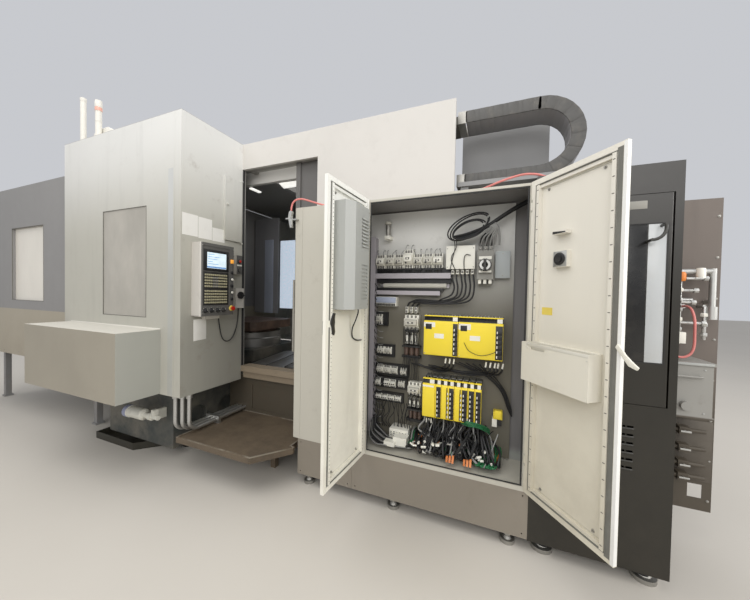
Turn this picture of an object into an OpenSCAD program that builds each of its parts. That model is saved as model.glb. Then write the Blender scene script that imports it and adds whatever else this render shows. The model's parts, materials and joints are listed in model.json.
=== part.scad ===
/* [Envelope] */
// Length of the loading guard to the left of the tall guard
load_len = 2404; // [2380:2:2450]
// Width of the utility panel at the right end
util_w = 410; // [390:2:430]
// Depth over all, from the apron's front to the rear guard
machine_dep = 4000; // [3960:10:4200]
// Height of the underside of the guards above the floor
guard_z = 678; // [660:2:720]
// Height of the tall guard above its underside
block_h = 2439; // [2380:1:2600]
/* [Tall guard] */
// Position of the tall guard's right face
block_right = 215; // [190:5:240]
// Length of the tall guard
block_w = 1815; // [1790:5:1900]
// How far the tall guard stands forward of the main wall
alcove_dep = 657; // [620:1:700]
// Thickness of the folded guard panels
panel_t = 30; // [20:1:40]
// Thickness of the guard sheet
sheet = 4; // [3:0.5:6]
// Depth of the apron box in front of the tall guard
apron_dep = 340; // [300:5:400]
// Height of the apron box
apron_h = 566; // [500:1:620]
// Distance of the apron's left end from the tall guard's left face
apron_start = 120; // [60:5:180]
// Distance of the apron's right end from the tall guard's right face
apron_inset = 253; // [200:1:320]
// Width of the tall guard's window
block_win_w = 660; // [560:10:720]
// Height of the tall guard's window
block_win_h = 1000; // [900:10:1100]
/* [Loading station] */
// Height of the underside of the loading guard
load_z = 750; // [730:5:800]
// Height of the loading guard
load_h = 2080; // [2000:10:2200]
// Height of the light lower band of the loading guard
load_band = 580; // [520:10:640]
// Width of the loading guard's window
load_win_w = 770; // [650:10:900]
// Height of the loading guard's window
load_win_h = 890; // [800:10:950]
/* [Operator opening] */
// Width of the operator opening in the main wall
opening_w = 895; // [850:5:900]
// Height of the top of the operator opening
opening_top = 2860; // [2800:5:2880]
// Height of the sill of the operator opening
sill_z = 820; // [790:5:840]
// Width of the operator door
op_door_w = 960; // [930:5:980]
// How far the operator door's leading edge stands open at rest
op_door_open = 610; // [560:5:640]
/* [Bed and axes] */
// Height of the levelling feet
foot_h = 100; // [90:1:110]
// Height of the bed casting
bed_h = 500; // [480:5:510]
// Half width of the long leg of the bed
row_half = 650; // [630:5:680]
// Width of the cross leg of the bed
cross_w = 1000; // [980:10:1020]
// Distance between the rails under the column
row_rail_gap = 900; // [860:10:940]
// Distance between the rails under the table
cross_rail_gap = 660; // [620:10:680]
// Width of a guide rail
rail_w = 60; // [50:1:65]
// Height of a guide rail
rail_h = 50; // [45:1:52]
// Radius of the ball screws
screw_r = 32; // [28:1:36]
// Running clearance of shafts in their bores
run_gap = 0.05; // [0.03:0.01:0.08]
// Clearance of carriages on their rails
slide_gap = 0.3; // [0.2:0.05:0.5]
/* [Column and head] */
// Position of the column's front face at rest
column_x = 1300; // [1290:5:1310]
// Length of the column base
column_len = 900; // [860:10:920]
// Width of the column
column_w = 1100; // [1060:10:1140]
// Height of the column's top
column_top = 2850; // [2820:5:2860]
// Height of the spindle axis at rest
spindle_z = 1750; // [1740:5:1760]
// Radius of the spindle
spindle_r = 95; // [85:1:105]
// Reach of the spindle nose in front of the column
spindle_reach = 700; // [680:5:705]
// Distance from the spindle axis to the tool arm's axis
arm_offset = 400; // [395:1:410]
// Height of the tool arm's axis
arm_z = 2150; // [2140:5:2170]
/* [Table] */
// Side of the square pallets
pallet_size = 800; // [760:10:820]
// Thickness of the pallets
pallet_t = 155; // [140:5:170]
// Radius of the locating bore in the pallets
pallet_bore_r = 25; // [20:1:30]
// Radius of the tapped holes in the pallets
pallet_hole_r = 8; // [6:0.5:10]
// Spacing of the tapped holes at the pallets' corners
pallet_hole_gap = 640; // [560:10:660]
// Radius of the rotary table
rotary_r = 390; // [360:5:400]
/* [Electrical cabinet] */
// Left end of the cabinet housing
cab_x = 1130; // [1128:1:1136]
// Length of the cabinet housing
cab_len = 1775; // [1770:1:1776]
// Depth of the cabinet housing
cab_dep = 372; // [366:1:400]
// Height of the top of the cabinet
cab_top = 2300; // [2296:1:2306]
// Height of the bottom of the cabinet above the floor
cab_z = 381; // [379:1:384]
// Left edge of the door opening
door_x = 1800; // [1798:1:1804]
// Thickness of the cabinet doors
door_t = 22; // [20:1:26]
// Angle at which the left cabinet door stands open
left_angle = 93; // [88:1:100]
// Angle at which the right cabinet door stands open
right_angle = 128; // [124:1:130]
/* [Tool magazine] */
// Width of the magazine housing
mag_w = 689; // [680:1:700]
// Height of the top of the magazine housing
mag_top = 2334; // [2310:1:2360]
// Radius of the circle of tool pots
pot_circle = 350; // [330:5:355]
// Number of tool pots
pot_count = 20; // [16:1:20]
// Radius of a tool pot
pot_r = 40; // [34:1:42]
// Width of the magazine door
mag_door_w = 430; // [410:5:440]
/* [Cable chain] */
// Outer radius of the cable chain's bend
chain_r = 300; // [290:5:305]
// Height of a chain link
chain_h = 100; // [90:1:105]
// Width of the cable chain
chain_w = 230; // [200:5:240]
// Pitch of the chain links
chain_pitch = 103; // [95:1:110]
/* [Control station] */
// Depth of the control panel
panel_dep = 125; // [110:5:140]
// Width of the control panel
panel_w = 360; // [350:5:380]
// Height of the control panel
panel_h = 645; // [620:5:660]
// Travel of the push buttons
push_travel = 6; // [4:1:8]
/* [Platform] */
// Height of the operator platform's top
platform_z = 310; // [296:2:330]
// Thickness of the operator platform
platform_t = 50; // [40:2:60]
/* [Hidden] */
$fn = 48;

y_front = -machine_dep / 2;
y_rear = machine_dep / 2;
roof_z = guard_z + block_h;
block_x = block_right - block_w;
x_left = block_x - load_len;
block_y = y_front + apron_dep;
wall_y = block_y + alcove_dep;
wall_in = wall_y + panel_t;
load_y = block_y + 60;
load_top = load_z + load_h;
wall_x1 = 2365;
opening_x = block_right + 15;
opening_x1 = opening_x + opening_w;

bed_top = foot_h + bed_h;
cross_half = y_rear - 500;
cross_x = -600;
cross_x0 = cross_x - cross_w / 2;
cross_x1 = cross_x + cross_w / 2;
row_x1 = 2800;
trough_z = foot_h + 250;
trough_half = 200;
screw_z = bed_top + 20;
slab_z = bed_top + 100;
row_rail_x0 = 330;
row_rail_x1 = 2520;
cross_rail_y = cross_half - 60;
pad_h = guard_z - bed_top;

saddle_t = 150;
saddle_top = slab_z + saddle_t;
rotary_t = 194;
pallet_z = saddle_top + slide_gap + rotary_t;
saddle_half = 450;
load_x = cross_x - 2000;

head_half = 330;
head_side = 350;
head_rail_y = 290;
head_screw_x = column_x + 90;
recess_half = 110;
recess_dep = 180;
nose_x = column_x - spindle_reach;
arm_t = 40;
arm_x = nose_x - 80;
unit_half_y = 95;
unit_y = -arm_offset - 55;

cab_x1 = cab_x + cab_len;
cab_y1 = wall_y + 58;
cab_y = cab_y1 - cab_dep;
door_x1 = cab_x1 - 37;
opening_z0 = cab_z + 30;
opening_z1 = cab_top - 17;
hinge_out = 12;
hinge_left_x = door_x - hinge_out;
hinge_right_x = door_x1 + hinge_out;
leaf_gap = 3;
hinge_y = cab_y - leaf_gap - door_t / 2;
leaf_x0 = 4;
leaf_len = (hinge_right_x - hinge_left_x) / 2 - 2;
leaf_z0 = opening_z0 - 14;
leaf_z1 = opening_z1 + 12;
plate_y = cab_y1 - 20;
plate_x0 = 1655;
plate_x1 = door_x1 - 63;
breaker_x = 2609;
breaker_z = 1822;
latch_x = leaf_len - 52;
latch_z = 1415;
latch_r = 8;
hub_x = 222;
hub_z = 1808;
hub_r = 20;

mag_x = cab_x1;
mag_x1 = mag_x + mag_w;
x_right = mag_x1 + util_w;
mag_y = cab_y;
mag_y1 = mag_y + 970;
mag_z = 80;
mag_axis_y = mag_y + 485;
mag_axis_z = 1600;
mag_door_x1 = mag_x1 - 39;
mag_pin_x = mag_door_x1 - 11;
mag_door_z0 = 1017;
mag_door_z1 = 2170;
disc_x = mag_x + 395;

util_y = wall_y + 203;
link_gap = 0.15;
panel_y = block_y + 90;
panel_z = 1375;
panel_x1 = block_right + panel_dep;
estop_y = panel_y + 322;
estop_z = panel_z + 62;
tray_y = wall_y + 103;
tray_z = 2470;
chain_y = tray_y + 20;
chain_top_z = tray_z + 6 + 2 * chain_r - chain_h;

hose_r = 7;
hose_route = [[3790, -890, 1560], [3790, -930, 1560], [3794, -972, 1540], [3798, -998, 1480],
  [3798, -1004, 1400], [3796, -1006, 1320], [3778, -1008, 1272], [3736, -1014, 1252],
  [3694, -1020, 1272], [3678, -1026, 1320], [3678, -1032, 1450],
  [3684, -1044, 1750], [3684, -1056, 2050], [3676, -1068, 2230], [3648, -1086, 2326],
  [3600, -1108, 2362], [3540, -1130, 2352], [3400, -1170, 2344], [3200, -1200, 2344],
  [3050, -1220, 2344], [2960, -1250, 2350], [2900, -1270, 2365], [2820, -1270, 2372],
  [2700, -1260, 2350], [2580, -1240, 2318], [2450, -1220, 2310], [2200, -1200, 2310],
  [1900, -1200, 2310], [1600, -1220, 2310], [1400, -1245, 2314], [1280, -1290, 2342],
  [1210, -1322, 2362], [1160, -1340, 2362], [1124, -1348, 2340], [1106, -1348, 2302], [1104, -1348, 2272]];
pendant_cord_r = 5;
cord_route = [[236, -1065, 1430], [236, -1065, 1400], [236, -1067, 1360], [236, -1072, 1310],
  [236, -1082, 1255], [236, -1098, 1205], [236, -1122, 1155], [236, -1154, 1120], [236, -1190, 1106],
  [236, -1226, 1114], [236, -1254, 1142], [236, -1272, 1185], [236, -1284, 1240], [236, -1293, 1295],
  [236, -1299, 1335], [236, -1300, 1358], [236, -1300, 1375]];

function norm3(v) = v / norm(v);
function tangent(p, i) = norm3(p[min(i + 1, len(p) - 1)] - p[max(i - 1, 0)]);
function side_of(t) = abs(t.z) < 0.9 ? norm3(cross(t, [0, 0, 1])) : norm3(cross(t, [1, 0, 0]));
function carry(t, u) = norm3(u - t * (t * u));
function frames(p, i = 0, u = undef) = let (
    t = tangent(p, i),
    v = is_undef(u) ? side_of(t) : carry(t, u)
  ) i == len(p) - 1 ? [v] : concat([v], frames(p, i + 1, v));

// A span of material between two corners, given as ranges along x, y and z
module span(x, y, z) {
  translate([x[0], y[0], z[0]]) cube([x[1] - x[0], y[1] - y[0], z[1] - z[0]]);
}

// A round bar along x, y or z from a centre point
module bar_x(p, r, l) { translate(p) rotate([0, 90, 0]) cylinder(r = r, h = l); }
module bar_y(p, r, l) { translate(p) rotate([-90, 0, 0]) cylinder(r = r, h = l); }
module bar_z(p, r, l) { translate(p) cylinder(r = r, h = l); }

// An outline drawn in x and z, drawn out along y
module along_y(y0, y1) { translate([0, y1, 0]) rotate([90, 0, 0]) linear_extrude(y1 - y0) children(); }

// An outline drawn in y and z, drawn out along x
module along_x(x0, x1) {
  translate([x0, 0, 0]) rotate([90, 0, 90]) linear_extrude(x1 - x0) children();
}

module rect(a, b) { translate(a) square(b - a); }
module circle_at(p, r, sides = 48) { translate(p) circle(r = r, $fn = sides); }

// A tube swept along a list of points
module tube(p, r, sides = 8) {
  u = frames(p);
  rings = [for (i = [0:len(p) - 1]) let (t = tangent(p, i), w = cross(t, u[i]))
    for (k = [0:sides - 1]) let (a = 360 * k / sides) p[i] + r * (cos(a) * u[i] + sin(a) * w)];
  n = len(p);
  walls = [for (i = [0:n - 2]) for (k = [0:sides - 1]) let (j = (k + 1) % sides)
    [i * sides + k, (i + 1) * sides + k, (i + 1) * sides + j, i * sides + j]];
  first_cap = [for (k = [0:sides - 1]) k];
  last_cap = [for (k = [0:sides - 1]) n * sides - 1 - k];
  polyhedron(rings, concat(walls, [first_cap], [last_cap]));
}

// A folded guard panel in the x and z plane, open towards the inside, with an outline as its child
module pan_y(y0, y1, lip = 25) {
  inner = y0 < y1 ? y0 + sheet : y0 - sheet;
  difference() {
    along_y(min(y0, y1), max(y0, y1)) children();
    along_y(min(inner, y1 + sign(y1 - y0)), max(inner, y1 + sign(y1 - y0)))
      offset(delta = -lip) children();
  }
}

// The same panel in the y and z plane
module pan_x(x0, x1, lip = 25) {
  inner = x0 < x1 ? x0 + sheet : x0 - sheet;
  difference() {
    along_x(min(x0, x1), max(x0, x1)) children();
    along_x(min(inner, x1 + sign(x1 - x0)), max(inner, x1 + sign(x1 - x0)))
      offset(delta = -lip) children();
  }
}

module bed() {
  pad_x = [cross_x0 + 60, cross_x1 - 160];
  color("darkslategray") difference() {
    union() {
      translate([0, 0, foot_h]) linear_extrude(bed_h) polygon([
        [cross_x0, -cross_half], [cross_x1, -cross_half], [cross_x1, -row_half],
        [row_x1, -row_half], [row_x1, row_half], [cross_x1, row_half],
        [cross_x1, cross_half], [cross_x0, cross_half]]);
      for (px = pad_x, side = [-1, 1])
        translate([px, side * (cross_half - 24) - 20, bed_top - 1]) cube([100, 40, pad_h + 1]);
    }
    difference() {
      union() {
        span([cross_x + 100, row_x1 - 120], [-trough_half, trough_half], [trough_z, bed_top + 1]);
        span([cross_x - trough_half, cross_x + trough_half],
          [-cross_half + 70, cross_half - 70], [trough_z, bed_top + 1]);
      }
      for (px = [row_rail_x0 - 50, row_rail_x1]) screw_block_x(px);
      for (side = [-1, 1]) screw_block_y(side);
    }
    for (px = [row_rail_x0 - 60, row_rail_x1 - 10])
      bar_x([px, 0, screw_z], screw_r + run_gap, 100);
    for (side = [-1, 1]) bar_y([cross_x, side * (cross_rail_y - 45) - 50, screw_z],
      screw_r + run_gap, 100);
    for (i = [0:5], side = [-1, 1])
      translate([280 + i * 420, side * row_half, foot_h + 230])
        rotate([90, 0, 0]) cylinder(r = 105, h = 120, center = true);
    for (i = [0:1], side = [-1, 1])
      translate([cross_x1, side * (900 + i * 350), foot_h + 230])
        rotate([0, 90, 0]) cylinder(r = 105, h = 120, center = true);
  }
}

module screw_block_x(px) { span([px, px + 80], [-90, 90], [trough_z - 1, bed_top]); }
module screw_block_y(side) {
  y = side * (cross_rail_y - 45);
  span([cross_x - 90, cross_x + 90], [y - 40, y + 40], [trough_z - 1, bed_top]);
}

module foot(p, h, r = 70) {
  translate([p[0], p[1], 0]) {
    cylinder(r = r, h = 25);
    translate([0, 0, 25]) cylinder(r1 = r * 0.6, r2 = r * 0.45, h = 15);
    translate([0, 0, 40]) cylinder(r = 18, h = h - 40);
    translate([0, 0, h - 30]) cylinder(r = 32, h = 22, $fn = 6);
  }
}

module levelling_feet() {
  color("dimgray") {
    for (px = [cross_x0 + 90, cross_x1 - 90], py = [-cross_half + 240, cross_half - 240])
      foot([px, py], foot_h);
    for (px = [350, 1150, 1950, row_x1 - 90], side = [-1, 1])
      foot([px, side * (row_half - 90)], foot_h);
    for (px = [cab_x + 130, cab_x + 880, cab_x1 - 110], py = [cab_y + 60, cab_y1 - 50])
      foot([px, py], 85, 45);
    for (px = [mag_x + 90, mag_x1 - 80], py = [mag_y + 90, mag_y1 - 90])
      foot([px, py], mag_z, 62);
  }
}

module guide_rails() {
  notch = rail_w * 0.16;
  module rail(l) {
    linear_extrude(l) polygon([[-rail_w / 2, 0], [rail_w / 2, 0], [rail_w / 2, rail_h * 0.3],
      [rail_w / 2 - notch, rail_h * 0.5], [rail_w / 2, rail_h * 0.7], [rail_w / 2, rail_h],
      [-rail_w / 2, rail_h], [-rail_w / 2, rail_h * 0.7], [-rail_w / 2 + notch, rail_h * 0.5],
      [-rail_w / 2, rail_h * 0.3]]);
  }
  color("silver") {
    for (side = [-1, 1]) translate([row_rail_x0, side * row_rail_gap / 2, bed_top])
      rotate([90, 0, 90]) rail(row_rail_x1 - row_rail_x0);
    for (side = [-1, 1]) translate([cross_x + side * cross_rail_gap / 2, cross_rail_y, bed_top])
      rotate([90, 0, 0]) rail(2 * cross_rail_y);
  }
}

// A carriage block that wraps a rail, centred on it and open below, running along y
module carriage(l, top) {
  half = rail_w / 2 + slide_gap;
  rotate([90, 0, 0]) translate([0, 0, -l / 2]) linear_extrude(l) difference() {
    rect([-rail_w / 2 - 35, 6], [rail_w / 2 + 35, top]);
    rect([-half, 0], [half, rail_h + slide_gap]);
  }
}

module load_stand() {
  stand_top = pallet_z - slide_gap;
  leg = 60;
  color("dimgray") {
    difference() {
      union() {
        bar_z([load_x, 0, 0], 420, 40);
        bar_z([load_x, 0, 40], 260, stand_top - 180);
        bar_z([load_x, 0, stand_top - 140], 380, 140);
      }
      bar_z([load_x, 0, stand_top - 90], 120 + run_gap, 100);
    }
    span([load_x + 200, cross_x0], [-120, 120], [foot_h, foot_h + 90]);
    for (px = [x_left + 20, block_x - leg - 20], side = [-1, 1]) {
      py = side * (-load_y - 260);
      span([px, px + leg], [py - leg / 2, py + leg / 2], [20, load_z]);
      span([px - 10, px + leg + 10], [py - leg / 2 - 15, py + leg / 2 + 15], [0, 20]);
    }
  }
}

module chip_conveyor() {
  belt = 420;
  x0 = 1500;
  y0 = row_half;
  y1 = y_rear - 60;
  rise = 900 / (y1 - y0 - 650);
  leg_top = 40 + (y1 - y0 - 860) * rise;
  color("slategray") difference() {
    along_x(x0, x0 + belt) polygon([[y0, 60], [y0 + 520, 60], [y1 - 130, 960], [y1, 960],
      [y1, 1240], [y1 - 300, 1240], [y0 + 430, 330], [y0, 330]]);
    along_x(x0 + 8, x0 + belt - 8) polygon([[y0 + 8, 68], [y0 + 516, 68], [y1 - 136, 968],
      [y1 - 8, 968], [y1 - 8, 1232], [y1 - 296, 1232], [y0 + 434, 322], [y0 + 8, 322]]);
    span([x0 + 30, x0 + belt - 30], [y0 + 40, y0 + 380], [310, 340]);
    span([x0 + 40, x0 + belt - 40], [y1 - 100, y1 - 20], [950, 975]);
  }
  color("slategray") {
    bar_x([x0 + belt, y1 - 140, 1120], 75, 150);
    span([x0 + 20, x0 + 60], [y1 - 400, y1 - 340], [0, leg_top]);
    span([x0 + 20, x0 + 60], [y0 + 30, y0 + 90], [0, 60]);
    span([x0 + belt - 60, x0 + belt - 20], [y1 - 400, y1 - 340], [0, leg_top]);
    span([x0 + belt - 60, x0 + belt - 20], [y0 + 30, y0 + 90], [0, 60]);
  }
}

// The drip tray below the filter, hung from the underside of the bed by its back
module drip_tray() {
  x1 = -430;
  y0 = block_y + 110;
  y1 = y0 + 215;
  cut = 190;
  outline = [[x1 - 820, y0], [x1 - cut, y0], [x1, y0 + cut], [x1, y1], [x1 - 820, y1]];
  color("black") {
    difference() {
      linear_extrude(70) polygon(outline);
      translate([0, 0, 8]) linear_extrude(80) offset(delta = -8) polygon(outline);
    }
    span([x1 - 800, x1 - 60], [y1 - 8, y1], [60, foot_h]);
  }
}

module oil_filter() {
  drip_tray();
  x0 = -560;
  y = -cross_half - 130;
  z = 440;
  color("ivory") {
    rotate_about_x([x0, y, z]) rotate_extrude() polygon([[0, 0], [50, 0], [56, 10], [56, 60],
      [50, 62], [50, 250], [40, 262], [24, 268], [24, 330], [34, 332], [34, 372], [20, 374],
      [20, 450], [0, 450]]);
    difference() {
      span([x0 + 335, x0 + 365], [y + 33, -cross_half], [z - 45, z + 45]);
      bar_x([x0 + 330, y, z], 34 + run_gap, 40);
    }
    span([x0 + 380, x0 + 420], [y - 20, y + 20], [z + 20, z + 70]);
  }
}

module rotate_about_x(p) { translate(p) rotate([0, 90, 0]) children(); }

module block_guard() {
  win_x = block_right - 455;
  win_z = 2350;
  strip = 80;
  floor_y = -1090;
  color("lightgray") difference() {
    span([block_x, block_right], [block_y, wall_y], [guard_z, roof_z]);
    span([block_x + sheet, block_right - sheet], [block_y + sheet, wall_y + 1],
      [guard_z + sheet, roof_z - sheet]);
    span([block_x - 1, block_x + sheet + 1], [load_y, wall_y + 1], [guard_z - 1, roof_z + 1]);
    span([block_x - 1, block_right - sheet - 20], [floor_y, wall_y + 1],
      [guard_z - 1, guard_z + sheet + 1]);
    span([win_x - block_win_w, win_x], [block_y - 1, block_y + sheet + 1],
      [win_z - block_win_h, win_z]);
    span([block_right - strip, block_right - strip + 5], [block_y - 1, block_y + 1.5],
      [guard_z - 1, roof_z + 1]);
    span([block_right - sheet - 1, block_right + 1], [wall_y - 200, wall_y - 60], [2150, 2650]);
  }
  color("lightgray") {
    span([block_x + 30, block_x + 70], [block_y + sheet, block_y + 60], [guard_z + sheet, roof_z - sheet]);
    span([-1000, -960], [block_y + sheet, block_y + 60], [guard_z + sheet, win_z - block_win_h - 60]);
    span([block_right - 60, block_right - 20], [block_y + sheet, block_y + 60],
      [guard_z + sheet, roof_z - sheet]);
    for (z = [2084, 2720.3]) difference() {
      span([block_right, block_right + 20], [wall_y - 32, wall_y - 12], [z, z + 15.7]);
      bar_z([block_right + 12, wall_y - 22, z - 1], 4 + run_gap, 18);
    }
  }
}

module window_pane(x, z, y, t) {
  span(x, [y, y + t], z);
}

module windows() {
  win_x = block_right - 455;
  lap = 20;
  color("lightblue") {
    window_pane([win_x - block_win_w - lap, win_x + lap], [2350 - block_win_h - lap, 2350 + lap],
      block_y + sheet, 8);
    window_pane([load_win_x() - lap, load_win_x() + load_win_w + lap],
      [load_win_z() - lap, load_win_z() + load_win_h + lap], load_y + panel_t, 8);
  }
}

function load_win_x() = block_x - 1380;
function load_win_z() = load_z + load_band + 110;

module apron() {
  x0 = block_x + apron_start;
  x1 = block_right - apron_inset;
  color("lightgray") difference() {
    span([x0, x1], [y_front, block_y], [guard_z + 7, guard_z + 7 + apron_h]);
    span([x0 + sheet, x1 - sheet], [y_front + sheet, block_y - sheet],
      [guard_z, guard_z + 7 + apron_h - sheet]);
  }
}

module load_guard() {
  split = load_z + load_band;
  back_y = -load_y;
  wx = load_win_x();
  wz = load_win_z();
  gate_half = 620;
  door_y0 = -700;
  door_y1 = 300;
  color("slategray") {
    pan_y(load_y, load_y + panel_t) difference() {
      rect([x_left, split], [block_x, load_top]);
      rect([wx, wz], [wx + load_win_w, wz + load_win_h]);
    }
    pan_y(back_y, back_y - panel_t) rect([x_left, split], [block_x, load_top]);
    pan_x(x_left, x_left + panel_t) difference() {
      rect([load_y + panel_t, split], [back_y - panel_t, load_top]);
      rect([door_y0, load_z + 150], [door_y1, load_top - 250]);
    }
    span([x_left + panel_t, block_x], [load_y + panel_t, back_y - panel_t],
      [load_top - sheet, load_top]);
  }
  color("lightgray") {
    pan_y(load_y, load_y + panel_t) rect([x_left, load_z], [block_x, split]);
    pan_y(back_y, back_y - panel_t) rect([x_left, load_z], [block_x, split]);
    pan_x(x_left, x_left + panel_t) difference() {
      rect([load_y + panel_t, load_z], [back_y - panel_t, split]);
      rect([door_y0, load_z + 150], [door_y1, split + 1]);
    }
    span([x_left + panel_t, x_left + 75], [door_y0 - 45, 1295], [load_z + 5, load_z + 60 - slide_gap]);
    difference() {
      span([block_x, block_x + panel_t], [load_y, back_y], [load_z, roof_z - panel_t - sheet]);
      span([block_x - 1, block_x + panel_t + 1], [-gate_half, gate_half], [900, 1900]);
    }
    for (side = [-1, 1]) difference() {
      y = side * (gate_half + 35);
      span([block_x + panel_t, block_x + panel_t + 50], [y - 30, y + 30],
        [load_z, roof_z - panel_t - sheet]);
      yi = side * (gate_half + 15);
      span([block_x + panel_t + 16 - slide_gap, block_x + panel_t + 34 + slide_gap],
        [yi - 22, yi + 22], [load_z - 1, roof_z]);
    }
  }
}

module load_door() {
  x0 = x_left + panel_t + 3;
  color("lightgray") {
    pan_x(x0, x0 + 26) rect([-740, load_z + 60], [340, load_top - 210]);
    span([x0 - 25, x0], [-690, -672], [1250, 1650]);
  }
}

module pallet_shutter() {
  x0 = block_x + panel_t + 16;
  color("silver") span([x0, x0 + 18], [-656.7, 656.7], [880, 1920]);
}

module main_guard() {
  color("lightgray") {
    pan_y(wall_y, wall_in) polygon([[block_right, opening_top], [opening_x1, opening_top],
      [opening_x1, cab_top + 14], [wall_x1, cab_top + 14], [wall_x1, roof_z],
      [block_right, roof_z]]);
    span([block_right, opening_x1], [wall_y, wall_y + 85], [sill_z - 60, sill_z]);
    span([block_right, 2300], [wall_y + 70, wall_y + 118], [sill_z - 20, sill_z]);
    span([block_right, opening_x1], [wall_y + 30, wall_y + 120], [sill_z - 130, sill_z - 60]);
    difference() {
      span([block_right - 260, opening_x1], [wall_y + 103, wall_y + 120], [290, sill_z - 130]);
      span([block_right + 60, opening_x1 - 60], [wall_y + 102, wall_y + 110], [340, sill_z - 220]);
    }
  }
}

module rear_guard() {
  z0 = guard_z;
  back = wall_y * -1;
  color("lightgray") {
    pan_y(y_rear, y_rear - panel_t) rect([block_x, z0], [block_right, roof_z]);
    pan_x(block_right, block_right - panel_t) rect([back, z0], [y_rear - panel_t, roof_z]);
    pan_y(back, back - panel_t) rect([block_right, z0 + 10], [wall_x1, 2600]);
    pan_x(wall_x1, wall_x1 - panel_t) difference() {
      rect([tray_y + 360, bed_top + 10], [back - panel_t, 2600]);
      rect([-300, 1500], [300, 2200]);
      rect([-520, bed_top], [520, screw_z + 60]);
    }
    span([block_x, block_x + panel_t], [-load_y, y_rear - panel_t], [z0, roof_z]);
    span([block_x + panel_t, block_right - panel_t], [cross_half - 100, y_rear - panel_t], [z0, z0 + sheet]);
  }
}

module top_frame() {
  z0 = roof_z - panel_t;
  post = 60;
  color("gainsboro") {
    difference() {
      span([block_x + panel_t, block_right - panel_t], [wall_y, y_rear - panel_t], [z0, roof_z]);
      span([block_x + panel_t + 25, block_right - panel_t - 25], [wall_y + 25, y_rear - panel_t - 25],
        [z0 - 1, roof_z - sheet]);
    }
    span([block_right, wall_x1 - panel_t], [wall_in, wall_in + 20], [opening_top + 10, opening_top + 30]);
    span([block_right, 2300], [wall_in + 20, wall_in + 100], [opening_top + 10, opening_top + 50]);
    span([block_right, block_right + post], [wall_in + 100, -wall_y - panel_t],
      [opening_top + 10, opening_top + 70]);
    span([block_right - 60, block_right], [wall_y + 2, wall_y + 42], [guard_z + 80, roof_z - panel_t - 2]);
    bar_z([block_x + 38, block_y + 140, roof_z], 26, 560);
  }
}

module chain_tray() {
  x0 = 2380;
  x1 = mag_x + 155;
  y1 = tray_y + 800;
  post = 60;
  color("dimgray") {
    difference() {
      span([x0, x1], [tray_y, y1], [tray_z, tray_z + 34]);
      span([x0 - 1, x1 + 1], [tray_y + 6, tray_y + chain_w + 60], [tray_z + 6, tray_z + 40]);
    }
    for (px = [x0 + 20, x1 - post - 110], py = [tray_y + 20, y1 - post - 60])
      if (px < mag_x - post) span([px, px + post], [py, py + post],
        [py > -row_half ? bed_top : 0, tray_z]);
    difference() {
      span([x0 - 10, x1], [tray_y + 355, y1 - 120], [tray_z + 34, 3035]);
      span([x0, x1 - 10], [tray_y + 365, y1 - 110], [tray_z + 44, 3025]);
    }
  }
}

// One link: two side plates that slant back from the joints, with a pin bore, and two cross bars
module chain_link(l) {
  plate_t = 14;
  h = chain_h;
  low = h / 2 - 6;
  slant = link_gap + low * tan(15);
  side_outline = [[link_gap, 0], [slant, low], [l * 0.22, low], [l * 0.22, h / 2]];
  left = concat(side_outline, [for (i = [3:-1:0]) [l - side_outline[i].x, side_outline[i].y]]);
  for (side = [0, 1]) translate([0, side == 0 ? 0 : chain_w - plate_t, 0])
    along_y(0, plate_t) difference() {
      polygon(concat(left, [for (i = [6:-1:1]) [left[i].x, -left[i].y]]));
      circle_at([l / 2, 0], h * 0.16, 24);
    }
  for (s = [-1, 1]) span([l * 0.3, l * 0.7], [plate_t, chain_w - plate_t],
    [s * (h / 2 - 8) - 4, s * (h / 2 - 8) + 4]);
}

module cable_chain() {
  mid_r = chain_r - chain_h / 2;
  base_z = tray_z + 6 + chain_h / 2;
  run = 540;
  bracket_x = wall_x1 + 70;
  n_low = floor(run / chain_pitch);
  bend_x = bracket_x + n_low * chain_pitch;
  n_arc = ceil(180 * mid_r * PI / 180 / chain_pitch);
  step = 180 / n_arc;
  chord = 2 * mid_r * sin(step / 2);
  y = chain_y;
  color("dimgray") {
    for (i = [1:n_low]) translate([bend_x - i * chain_pitch, y, base_z]) chain_link(chain_pitch);
    for (i = [1:n_low]) translate([bend_x - i * chain_pitch, y, base_z + 2 * mid_r])
      chain_link(chain_pitch);
    for (i = [0:n_arc - 1]) translate([bend_x, y, base_z + mid_r])
      rotate([0, 90 - i * step, 0]) translate([mid_r, 0, 0])
      rotate([0, -90 - step / 2, 0]) chain_link(chord);
    for (z = [base_z, base_z + 2 * mid_r]) difference() {
      span([bracket_x - 70, bracket_x], [y, y + chain_w], [z - chain_h / 2, z + chain_h / 2]);
      span([bracket_x - 60, bracket_x + 1], [y + 14, y + chain_w - 14],
        [z - chain_h / 2 + 8, z + chain_h / 2 + 1]);
    }
  }
}

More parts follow.
